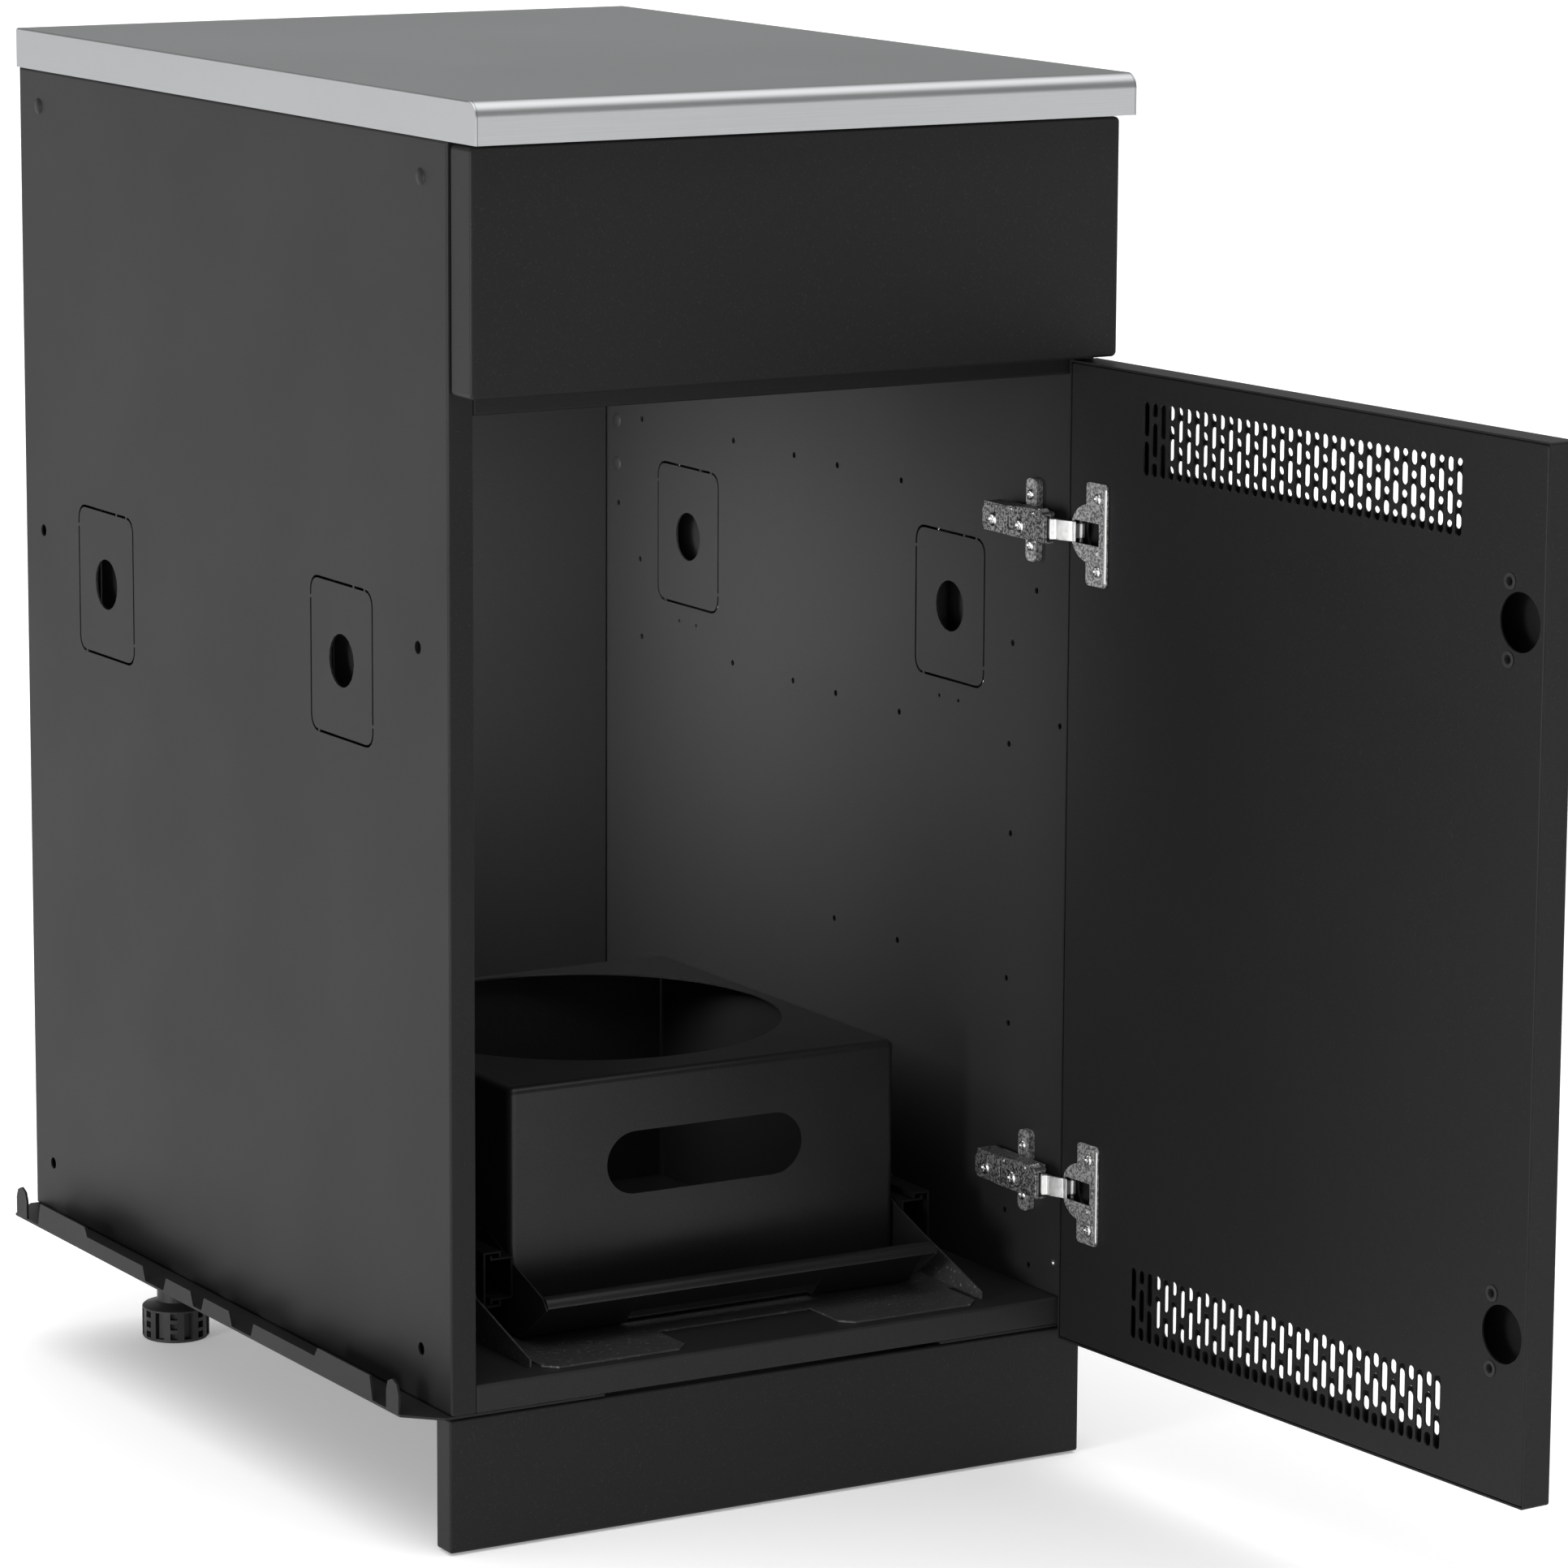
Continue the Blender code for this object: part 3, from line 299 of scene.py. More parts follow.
# A black coat darker than the body's, for the slides: painted shade that lets them sink into the
# shade beside the tray.
paint_slide_painted_shade = powder_coat(
    "slide_powder_coat_painted_shade", (0.0040, 0.0040, 0.0041), (0.0055, 0.0055, 0.0056),
    (0.0090, 0.0090, 0.0092), rough=(0.50, 0.60), shine=0.12,
)
worktop_steel = brushed(
    "worktop_steel", (0.44, 0.45, 0.455), (0.48, 0.49, 0.495), (14, 1500, 1500), (0.30, 0.38),
    anisotropy=0.0, tint=0.6,
)
bright_zinc = brushed(
    "bright_zinc", (0.72, 0.72, 0.71), (0.84, 0.84, 0.83), (300, 300, 300), (0.34, 0.5),
)
cast_zinc = cast_metal("cast_zinc", (0.11, 0.11, 0.11), (0.52, 0.52, 0.515), 640)
dark_cast = cast_metal("arm_zinc", (0.020, 0.020, 0.020), (0.36, 0.36, 0.355), 640, 0.6)
screw_steel = brushed(
    "screw_steel", (0.74, 0.74, 0.73), (0.90, 0.90, 0.89), (500, 500, 500), (0.2, 0.32),
)
paint_insert = powder_coat(
    "insert_powder_coat", (0.0250, 0.0250, 0.0255), (0.0290, 0.0290, 0.0295),
    (0.060, 0.060, 0.062),
)
plastic = moulded("foot_plastic", (0.016, 0.016, 0.016), (0.024, 0.024, 0.024), 1500, 0.00008)
# Near black, darker than the black plastic: painted shade for the insides of the cups and of the
# arm slots.
recess = moulded("recess_painted_shade", (0.002, 0.002, 0.002), (0.003, 0.003, 0.003), 900, 0.00003)


# Making, cutting and shading pieces

def add(name, data):
    item = bpy.data.objects.new(name, data)
    bpy.context.scene.collection.objects.link(item)
    return item


def closed_mesh(name, points, faces, matrix):
    """A mesh from points in the body's own frame, with its faces turned outwards."""
    mesh = bpy.data.meshes.new(name)
    mesh.from_pydata([tuple(matrix @ Vector(point)) for point in points], [], faces)
    mesh.update()
    shape = bmesh.new()
    shape.from_mesh(mesh)
    bmesh.ops.remove_doubles(shape, verts=shape.verts, dist=merge_distance)
    bmesh.ops.recalc_face_normals(shape, faces=shape.faces)
    shape.to_mesh(mesh)
    shape.free()
    return mesh


def shade(mesh, sharp=32):
    mesh.shade_smooth()
    mesh.set_sharp_from_angle(angle=math.radians(sharp))


def make(name, points, faces, material, body, replaces=(), matrix=to_world, sharp=32):
    """A new piece from points in the body's own frame, riding on a CAD body."""
    item = add(name, closed_mesh(name, points, faces, matrix))
    item.data.materials.append(material)
    shade(item.data, sharp)
    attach(item, body)
    if replaces:
        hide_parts(*replaces)
    return item


def cut(item, shape):
    """Cuts a closed shape out of a piece of the body."""
    cutter = add("cutter", closed_mesh("cutter", *shape, to_world))
    modifier = item.modifiers.new("cut", "BOOLEAN")
    modifier.operation = "DIFFERENCE"
    modifier.solver = "EXACT"
    modifier.object = cutter
    graph = bpy.context.evaluated_depsgraph_get()
    result = bpy.data.meshes.new_from_object(item.evaluated_get(graph))
    item.modifiers.remove(modifier)
    item.data = result
    shade(result)
    bpy.data.objects.remove(cutter)


def soften(item, width):
    """Rounds the edges that are sharper than a fold."""
    bevel = item.modifiers.new("edges", "BEVEL")
    bevel.width = width
    bevel.segments = 2
    bevel.limit_method = "ANGLE"
    bevel.angle_limit = math.radians(40)
    bevel.harden_normals = True


def flatten(item):
    """Keeps wide flat faces evenly shaded up to their folds."""
    normals = item.modifiers.new("normals", "WEIGHTED_NORMAL")
    normals.mode = "FACE_AREA"
    normals.weight = 100
    normals.keep_sharp = True


def finish_node(name, material, edge=0.0):
    """Gives a carried-over CAD node its finish and, if asked, softer edges."""
    item = nodes[name]
    item.data.materials.clear()
    item.data.materials.append(material)
    if edge:
        soften(item, edge)


def body_box(name):
    """A node's corners with the front of the body at y = 0."""
    low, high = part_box(name)
    return low - Vector((0, front_y, 0)), high - Vector((0, front_y, 0))


# Shape helpers: an outline is a list of (u, v), and a shape is its points and its faces

def place(axis, along, u, v):
    """A point from its place along an axis and its other two coordinates."""
    point = [u, v]
    point.insert(axis, along)
    return Vector(point)


def arc(u, v, radius, start, end, steps):
    angles = [start + (end - start) * i / steps for i in range(steps + 1)]
    return [(u + radius * math.cos(a), v + radius * math.sin(a)) for a in angles]


def circle(u, v, radius, steps):
    angles = [math.tau * i / steps for i in range(steps)]
    return [(u + radius * math.cos(a), v + radius * math.sin(a)) for a in angles]


def rounded(low, high, radius, steps):
    """A rectangle with round corners."""
    corners = (
        (high[0] - radius, high[1] - radius), (low[0] + radius, high[1] - radius),
        (low[0] + radius, low[1] + radius), (high[0] - radius, low[1] + radius),
    )
    points = []
    for turn, (u, v) in enumerate(corners):
        points += arc(u, v, radius, turn * quarter, (turn + 1) * quarter, steps)
    return points


def band(path, width):
    """The outline of a strip of even width along a path."""
    left, right = [], []
    for i, point in enumerate(path):
        before = Vector(path[max(i - 1, 0)])
        after = Vector(path[min(i + 1, len(path) - 1)])
        here = Vector(point)
        steps = [step.normalized() for step in (here - before, after - here) if step.length]
        normals = [Vector((-step.y, step.x)) for step in steps]
        mean = sum(normals, Vector((0, 0))).normalized()
        offset = mean * (width / 2 / mean.dot(normals[0]))
        left.append(tuple(here + offset))
        right.append(tuple(here - offset))
    return left + right[::-1]


def anticlockwise(outline):
    following = list(outline[1:]) + [outline[0]]
    area = sum(a[0] * b[1] - a[1] * b[0] for a, b in zip(outline, following))
    return list(outline) if area > 0 else list(reversed(outline))


def fill(outline, holes):
    """Triangles that fill an outline around its holes, as places in all their points."""
    points, loops = [], []
    for loop in [outline] + list(holes):
        loops.append(list(range(len(points), len(points) + len(loop))))
        points += list(loop)
    flat = [Vector(point) for point in points]
    _, _, faces, sources, _, owners = delaunay_2d_cdt(flat, [], loops, 1, 1e-7)
    inside = [face for face, owner in zip(faces, owners) if list(owner) == [0]]
    return [tuple(sources[i][0] for i in face) for face in inside]


def strip(first, second, count):
    """Faces between two rings of points, each given by the place of its first point."""
    pairs = [(i, (i + 1) % count) for i in range(count)]
    return [(first + i, first + j, second + j, second + i) for i, j in pairs]


def stack(axis, rings, holes, levels):
    """Closes a stack of outlines, with holes drawn through between its two end faces."""
    points, faces = [], []
    count = len(rings[0][1])
    for level, outline in rings:
        points += [place(axis, level, u, v) for u, v in outline]
    top = (len(rings) - 1) * count
    for base in range(0, top, count):
        faces += strip(base, base + count, count)
    starts = []
    for level, outline, base, turned in (
        (levels[0], rings[0][1], 0, True), (levels[1], rings[-1][1], top, False),
    ):
        start = len(points)
        starts.append(start)
        for hole in holes:
            points += [place(axis, level, u, v) for u, v in hole]
        for triangle in fill(outline, holes):
            face = tuple(base + i if i < count else start + i - count for i in triangle)
            faces.append(face[::-1] if turned else face)
    first, last = starts
    for hole in holes:
        for i in range(len(hole)):
            j = (i + 1) % len(hole)
            faces.append((first + j, first + i, last + i, last + j))
        first, last = first + len(hole), last + len(hole)
    return points, faces


def plate(axis, low, high, outline, holes=()):
    outline = anticlockwise(outline)
    holes = [anticlockwise(hole) for hole in holes]
    return stack(axis, ((low, outline), (high, outline)), holes, (low, high))


def pan(axis, face, end, low, high, holes=(), fold=0.0016, corner=0.0016, steps=5):
    """A folded sheet with round bends and slightly round corners."""
    side = math.copysign(1, end - face)
    inner = max(fold - sheet, 0.0)
    least_corner = 0.0002

    def outline(inset):
        radius = max(corner - inset, least_corner)
        near, far = (low[0] + inset, low[1] + inset), (high[0] - inset, high[1] - inset)
        return rounded(near, far, radius, 4)

    angles = [quarter * step / steps for step in range(steps + 1)]
    rings = []
    for a in reversed(angles):
        level = face + side * fold * (1 - math.sin(a))
        rings.append((level, outline(fold * (1 - math.cos(a)))))
    rings += [(end, outline(0)), (end, outline(sheet))]
    for a in angles if inner else angles[:1]:
        level = face + side * (sheet + inner * (1 - math.sin(a)))
        rings.append((level, outline(sheet + inner * (1 - math.cos(a)))))
    holes = [anticlockwise(hole) for hole in holes]
    return stack(axis, rings, holes, (face, face + side * sheet))


def revolve(profile, centre, axis, direction, steps):
    """A profile of radius and height turned about an axis."""
    points, faces, rows = [], [], []
    for radius, height in profile:
        count = steps if radius > 0 else 1
        rows.append([len(points) + i for i in range(count)])
        for i in range(count):
            spoke = polar(radius, math.tau * i / steps)
            points.append(Vector(centre) + place(axis, direction * height, spoke.x, spoke.y))
    closed = profile[0][0] > 0 or profile[-1][0] > 0
    pairs = zip(rows, rows[1:] + [rows[0]]) if closed else zip(rows, rows[1:])
    for first, second in pairs:
        for i in range(steps):
            j = (i + 1) % steps
            corners = [first[i % len(first)], first[j % len(first)]]
            corners += [second[j % len(second)], second[i % len(second)]]
            corners = list(dict.fromkeys(corners))
            if len(corners) > 2:
                faces.append(tuple(corners))
    return points, faces


def join(*shapes):
    """Several closed shapes as one list of points and faces."""
    points, faces = [], []
    for more_points, more_faces in shapes:
        start = len(points)
        points += list(more_points)
        faces += [tuple(start + i for i in face) for face in more_faces]
    return points, faces


def block(low, high, corner):
    """A box with chamfered upright edges."""
    return plate(2, low[2], high[2], rounded(low[:2], high[:2], corner, 1))


# Door: two nested pans whose slots are shifted a little to either side

def vent_slots(shift):
    """Alternate columns of two long slots and of short, long, short, low and high."""
    margin = vent_edge_margin + vent_height / 2
    slots = []
    for middle in (door_low + margin, door_high - margin):
        for column in range(vent_columns):
            x = (column - vent_columns // 2) * vent_pitch + shift
            if column % 2:
                end = (vent_height - vent_short_slot) / 2
                places = ((0, vent_long_slot), (-end, vent_short_slot), (end, vent_short_slot))
            else:
                end = (vent_height - vent_long_slot) / 2
                places = ((-end, vent_long_slot), (end, vent_long_slot))
            for offset, length in places:
                z = middle + offset
                low = (x - vent_slot_width / 2, z - length / 2)
                high = (x + vent_slot_width / 2, z + length / 2)
                slots.append(rounded(low, high, vent_slot_width / 2 - slot_flat, 4))
    return slots


def build_door():
    cup_hole, spare_hole, insert_hole = 0.0178, 0.0175, 0.0041
    cup_steps, screw_steps, insert_steps = 40, 16, 20
    low, high = (-door_edge, door_low), (door_edge, door_high)
    shape = pan(1, door_outside, door_face, low, high, vent_slots(-vent_skew))
    flatten(make("door_outer_skin", *shape, paint, "door", ("door_outer",), open_door))
    holes = vent_slots(vent_skew)
    for _, height in hinges:
        holes.append(circle(cup_x, height, cup_hole, cup_steps))
        holes.append(circle(spare_x, height, spare_hole, cup_steps))
        for _, offset in cup_screws:
            z = height + offset
            holes.append(circle(cup_x - cup_screw_inset, z, cup_screw_hole, screw_steps))
            holes.append(circle(spare_x + cup_screw_inset, z, insert_hole, insert_steps))
    inset = sheet + gap
    low, high = (-door_edge + inset, door_low + inset), (door_edge - inset, door_high - inset)
    shape = pan(1, door_face, door_face - door_inner_depth, low, high, holes, fold=sheet)
    flatten(make("door_inner_skin", *shape, paint, "door", ("door_inner",), open_door))


def build_inserts():
    """Collars with a chamfered mouth beside the spare cup holes."""
    bore, barrel, rim, depth = 0.00275, 0.0038, 0.0049, 0.0050
    profile = (
        (bore, -0.0002), (0.0030, -0.0006), (0.0045, -0.0006), (rim, -0.0003), (rim, 0.0),
        (barrel, 0.0), (barrel, depth), (bore, depth),
    )
    for level, height in hinges:
        for end, offset in cup_screws:
            centre = (spare_x + cup_screw_inset, door_face + gap, height + offset)
            shape = revolve(profile, centre, 1, -1, 28)
            replaced = (f"insert_{level}_{end}",)
            name = f"insert_ring_{level}_{end}"
            make(name, *shape, paint_insert, "door", replaced, open_door)


# Worktop: a hollow folded sheet with a round nose and an end seam

def build_worktop():
    side_overhang, front_overhang, lip, lip_corner = 0.002, 0.0396, 0.012, 0.0003
    reach, front, back = half_width + side_overhang, -front_overhang, body_depth
    top, thickness, nose_radius, back_radius = 0.878, 0.0254, 0.0095, 0.0022
    bottom = top - thickness
    fold, edge, fold_steps = 0.0011, 0.0005, (0, 0.0001, 0.0003, 0.0006)
    seam_start, seam_end, seam_depth, seam_slope = 0.0011, 0.0014, 0.0004, 0.00004

    def rounding(distance, bend):
        return bend - math.sqrt(bend * bend - max(bend - distance, 0) ** 2)

    def nose_arc(radius, steps):
        return arc(front + nose_radius, top - nose_radius, radius, quarter, math.pi, steps)

    def outline(distance):
        over, nose = rounding(distance, fold), rounding(distance, edge)
        if seam_start < distance < seam_end:
            nose += seam_depth
        loop = [(front + nose, bottom), (back - over, bottom)]
        loop += arc(back - back_radius, top - back_radius, back_radius - over, 0, quarter, 3)
        loop.append((front + nose_radius + edge, top - over))
        return loop + nose_arc(nose_radius - nose, 16)

    distances = [*fold_steps, seam_start]
    distances += [seam_start + seam_slope, seam_end - seam_slope, seam_end]
    rings = [(-reach + distance, outline(distance)) for distance in distances]
    rings += [(reach - distance, outline(distance)) for distance in reversed(distances)]
    shape = stack(0, rings, [], (rings[0][0], rings[-1][0]))
    item = make("worktop_skin", *shape, worktop_steel, "cabinet", ("worktop",))
    hollow = [
        (front + sheet, bottom + sheet), (back - sheet, bottom + sheet),
        (back - sheet, top - sheet),
    ]
    hollow += nose_arc(nose_radius - sheet, 10)
    cut(item, plate(0, -reach + sheet, reach - sheet, hollow))
    low = (-reach + lip, front + lip, bottom - sheet)
    high = (reach - lip, back - lip, bottom + 2 * sheet)
    cut(item, block(low, high, lip_corner))
    flatten(item)


# Body panels with smooth folds

def build_panels():
    wide_fold, plain_corner = 0.0018, 0.0016
    for node, name, axis, material, corner in (
        ("fascia_panel", "fascia_skin", 1, paint, 0.0032),
        ("toe_kick", "toe_kick_skin", 1, paint, 0.0018),
        ("floor_panel", "floor_skin", 2, paint_inside_painted_light, plain_corner),
        ("back_panel", "back_skin", 1, paint_inside_painted_light, plain_corner),
        ("front_rail", "front_rail_skin", 1, paint, plain_corner),
    ):
        low, high = body_box(node)
        if axis == 1:
            place_of = (low.y, high.y, (low.x, low.z), (high.x, high.z))
        else:
            place_of = (high.z, low.z, (low.x, low.y), (high.x, high.y))
        shape = pan(axis, *place_of, fold=wide_fold, corner=corner)
        flatten(make(name, *shape, material, "cabinet", (node,)))


# Hinges

def screw_head(centre, axis, direction, radius=0.0035, height=0.0014, shank=0.0060):
    """A domed screw head with a cross recess, and its shank."""
    steps, shank_radius, shank_gap = 20, 0.0018, 0.0001
    wide, long, deep, taper = 0.17 * radius, 0.56 * radius, 0.65 * height, 0.6

    def at(level, u, v):
        return Vector(centre) + place(axis, direction * level, u, v)

    cross = []
    for turn in range(4):
        c, s = round(math.cos(turn * quarter)), round(math.sin(turn * quarter))
        for u, v in ((wide, wide), (wide, long), (-wide, long)):
            cross.append((c * u - s * v, s * u + c * v))
    rings = (
        (0, radius), (0.35 * height, radius), (0.75 * height, 0.88 * radius),
        (height, 0.66 * radius),
    )
    points, faces = [], []
    for level, ring in rings:
        points += [at(level, u, v) for u, v in circle(0, 0, ring, steps)]
    top = (len(rings) - 1) * steps
    for base in range(0, top, steps):
        faces += strip(base, base + steps, steps)
    faces.append(tuple(range(steps)))
    mouth = anticlockwise(cross)
    start = len(points)
    points += [at(height, u, v) for u, v in mouth]
    for triangle in fill(circle(0, 0, rings[-1][1], steps), [mouth]):
        faces.append(tuple(top + i if i < steps else start + i - steps for i in triangle))
    floor_start = len(points)
    points += [at(height - deep, taper * u, taper * v) for u, v in mouth]
    faces += strip(start, floor_start, len(mouth))
    faces += [tuple(floor_start + i for i in triangle) for triangle in fill(mouth, [])]
    profile = (
        (0, -shank), (shank_radius, -shank), (shank_radius, -shank_gap), (0, -shank_gap),
    )
    return join((points, faces), revolve(profile, centre, axis, direction, 16))


def build_cup(level, height):
    """A flange with mouth, bump and pin, a bright ridge as a painted highlight of its lit edge, a
    near-black dished cup as painted shade, and two screws.
    """
    near_offset, far_offset, half, corner, bulge = 0.0025, 0.0185, 0.0320, 0.0030, 0.0180
    bump_offset, bump_drop, thickness = 0.0085, 0.0044, 0.0012
    ridge_start, ridge_end, ridge_rise, ridge_corner = 0.0001, 0.0023, 0.0008, 0.0004
    mouth_radius, mouth_half, mouth_offset, sunk = 0.0163, 0.0071, 0.0105, 0.0003
    seat = door_face + gap
    top = seat + thickness
    near, far = cup_x + near_offset, cup_x - far_offset
    start = math.acos(near_offset / bulge)
    outline = arc(cup_x, height, bulge, -start, start, 28)
    outline += rounded((far, height - half), (near, height + half), corner, 5)
    reach = math.asin(mouth_half / mouth_radius)
    mouth = arc(cup_x, height, mouth_radius, -reach, reach, 10)
    mouth += [(cup_x - mouth_offset, height + side * mouth_half) for side in (1, -1)]
    holes = [mouth]
    for _, offset in cup_screws:
        holes.append(circle(cup_x - cup_screw_inset, height + offset, cup_screw_hole, 16))
    flange = plate(1, seat, top, outline, holes)
    centre = (cup_x - bump_offset, top - sunk, height - mouth_half - bump_drop)
    profile = ((0, 0), (0.0022, 0), (0.0020, 0.0008), (0.0012, 0.0014), (0, 0.0016))
    dome = revolve(profile, centre, 1, 1, 20)
    pin_radius, pin_half = 0.0011, 0.0096
    profile = ((0, -pin_half), (pin_radius, -pin_half), (pin_radius, pin_half), (0, pin_half))
    pin = revolve(profile, (cup_pivot_closed.x, cup_pivot_closed.y, height), 2, 1, 16)
    shape = join(flange, dome, pin)
    item = make(f"cup_{level}", *shape, cast_zinc, "door", (f"hinge_cup_{level}",), open_door)
    soften(item, 0.00025)
    # Painted highlight: a thin ridge in bright zinc along the flange's far edge stands for the edge
    # catching the light.
    low = (far + ridge_start, top - sunk, height - half + corner)
    high = (far + ridge_end, top + ridge_rise, height + half - corner)
    ridge = block(low, high, ridge_corner)
    make(f"cup_ridge_painted_highlight_{level}", *ridge, bright_zinc, "door", matrix=open_door)
    # The dish is near black: its dark lining is darkened further as painted shade inside the cup.
    rim = gap * 0.9
    profile = (
        (0, -0.0118), (0.0155, -0.0118), (0.0170, -0.0112), (0.0175, -0.0098), (0.0175, rim),
        (0.0167, rim), (0.0167, -0.0096), (0.0160, -0.0106), (0.0150, -0.0110), (0, -0.0110),
    )
    dish = revolve(profile, (cup_x, door_face, height), 1, 1, 40)
    make(f"cup_dish_{level}", *dish, recess, "door", matrix=open_door)
    for end, offset in cup_screws:
        shape = screw_head((cup_x - cup_screw_inset, top + gap, height + offset), 1, 1)
        replaced = (f"cup_screw_{level}_{end}",)
        name = f"cup_screw_head_{level}_{end}"
        make(name, *shape, screw_steel, "door", replaced, open_door)


def build_link(level, height):
    """A bent link with a narrower tongue, two eyes and a bright face strip."""
    knee_offset, half, tongue = 0.0062, 0.00625, 0.0045
    knee_share, shoulder_share, shoulder_offset_share = 0.86, 0.43, 0.75
    thickness, tongue_thickness, strip_thickness = 0.0022, 0.0019, 0.0007
    eye_radius, bore = 0.0023, 0.0013
    first, last = Vector(pivot[:2]), Vector(cup_pivot_open[:2])
    along = (last - first).normalized()
    across = Vector((-along.y, along.x))
    knee = first + along * (link_length * knee_share) - across * knee_offset
    shoulder = first + along * (link_length * shoulder_share)
    shoulder -= across * (knee_offset * shoulder_offset_share)
    middle = (shoulder + knee) / 2
    wide = band([tuple(first), tuple(shoulder), tuple(knee)], thickness)
    narrow = band([tuple(middle), tuple(knee), tuple(last)], tongue_thickness)
    parts = [plate(2, height - half, height + half, wide)]
    parts.append(plate(2, height - tongue, height + tongue, narrow))
    for point, reach in ((first, half), (last, tongue)):
        eye = circle(point.x, point.y, eye_radius, 20)
        hole = circle(point.x, point.y, bore, 16)
        parts.append(plate(2, height - reach, height + reach, eye, [hole]))
    path = [(0.1925, -0.0018), (0.1955, -0.0034), (0.2001, -0.0162), (0.2004, -0.0188)]
    parts.append(plate(2, height - half, height + half, band(path, strip_thickness)))
    shape = join(*parts)
    item = make(f"link_{level}", *shape, bright_zinc, "hinge_links", (f"hinge_link_{level}",))
    soften(item, 0.0003)


def build_arm_details(level, height):
    """A tapering cover on the arm with its two adjusting screws, a slot with a near-black sheet
    behind it as painted shade, and a toothed stop.
    """
    web_distance, cover_thickness, clear = 0.0185, 0.0013, 0.0001
    web = side_inner - web_distance
    face = web - cover_thickness
    outline = [
        (-0.0006, -0.0088), (0.0420, -0.0090), (0.0675, -0.0078), (0.0700, -0.0056),
        (0.0700, 0.0046), (0.0675, 0.0068), (0.0420, 0.0096), (0.0200, 0.0112),
        (0.0055, 0.0112), (0.0012, 0.0092), (-0.0006, 0.0088),
    ]
    outline = [(y, height + z) for y, z in outline]
    slot = rounded((0.0395, height - 0.0050), (0.0415, height + 0.0030), 0.0009, 4)
    shape = plate(0, face, web - clear, outline, [slot])
    item = make(f"arm_cover_{level}", *shape, dark_cast, "cabinet")
    soften(item, 0.0003)
    # Painted shade: a near-black sheet just behind the slot.
    low = (web - 0.0006, 0.0393, height - 0.0052)
    high = (web - 0.0002, 0.0417, height + 0.0032)
    make(f"arm_slot_painted_shade_{level}", *block(low, high, 0.0001), recess, "cabinet")
    for name, y in (("rear", 0.0575), ("front", 0.0265)):
        centre = (face - clear, y, height - 0.0010)
        shape = screw_head(centre, 0, -1, radius=0.0044, height=0.0016, shank=0.0002)
        make(f"arm_screw_{level}_{name}", *shape, screw_steel, "cabinet")
    profile = ((0, 0), (0.0011, 0), (0.0010, 0.0004), (0.0005, 0.0007), (0, 0.0008))
    for name, y, z in (("rear", 0.0365, 0.0080), ("front", 0.0115, 0.0085)):
        shape = revolve(profile, (face - clear, y, height + z), 0, -1, 14)
        make(f"arm_rivet_{level}_{name}", *shape, screw_steel, "cabinet")
    count, start, base, tip, pitch, notch = 4, 0.1895, 0.0094, 0.0120, 0.0018, 0.0013
    tooth_share, stop_front, stop_back = 0.55, 0.0052, 0.0068
    teeth = []
    for i in range(count):
        teeth.append((start + i * pitch, height + tip))
        teeth.append((start + (i + tooth_share) * pitch, height + tip - notch))
    outline = [(start, height + base)] + teeth + [(start + count * pitch, height + base)]
    shape = plate(1, stop_front, stop_back, outline)
    make(f"arm_stop_{level}", *shape, bright_zinc, "cabinet")


def build_plate_screws(level, height):
    plate_thickness, screw_y, offsets = 0.0045, 0.037, (("low", -0.016), ("high", 0.016))
    face = side_inner - gap - plate_thickness
    for end, offset in offsets:
        shape = screw_head((face - gap, screw_y, height + offset), 0, -1, shank=0.0090)
        replaced = (f"plate_screw_{level}_{end}",)
        make(f"plate_screw_head_{level}_{end}", *shape, screw_steel, "cabinet", replaced)


# Levelling feet: a drum with rows of pockets under a wide sleeve

def build_pad(name):
    low, high = body_box(f"{name}_pad")
    x, y = (low.x + high.x) / 2, (low.y + high.y) / 2
    radius, drum, sleeve, top, bore, depth = 0.0225, 0.0225, 0.0125, 0.0790, 0.0053, 0.0036
    columns, wall, chamfer, bore_floor = 14, 0.0002, 0.001, 0.012
    shoulder, shoulder_rise, neck_rise, rim = 0.002, 0.0012, 0.0028, 0.0005
    half_tall, half_short, turned = math.radians(8.2), math.radians(6.4), math.radians(10)
    rows = ((0.0023, 0.0067), (0.0091, 0.0135), (0.0160, 0.0204))
    angles, kinds = [], []
    pitch = math.tau / columns
    for column in range(columns):
        tall = column % 2 == 0
        half = half_tall if tall else half_short
        middle = column * pitch + turned
        for offset in (-half, -half + wall / radius, half - wall / radius, half):
            angles.append(middle + offset)
            kinds.append((tall, abs(offset) < half))
    levels = [chamfer]
    for low, high in rows:
        levels += [low, low + wall, high - wall, high]
    levels += [drum - chamfer]

    def inside(level, tall):
        if tall:
            return rows[0][0] < level < rows[-1][1]
        return any(low < level < high for low, high in rows)

    profile = [([radius - chamfer] * len(angles), 0)]
    for level in levels:
        ring = [radius - depth if sunk and inside(level, tall) else radius for tall, sunk in kinds]
        profile.append((ring, level))
    for ring, level in (
        (radius - chamfer, drum), (sleeve + shoulder, drum + shoulder_rise),
        (sleeve, drum + neck_rise), (sleeve, top - rim), (sleeve - rim, top), (bore, top),
        (bore, bore_floor),
    ):
        profile.append(([ring] * len(angles), level))
    points, faces, count = [], [], len(angles)
    for radii, level in profile:
        for r, a in zip(radii, angles):
            points.append(Vector((x + r * math.cos(a), y + r * math.sin(a), level)))
    end = (len(profile) - 1) * count
    for base in range(0, end, count):
        faces += strip(base, base + count, count)
    faces.append(tuple(range(count)))
    faces.append(tuple(end + i for i in range(count)))
    make(f"{name}_drum", points, faces, plastic, name, (f"{name}_pad",), sharp=40)


# Tray: collar and pan with smooth folds

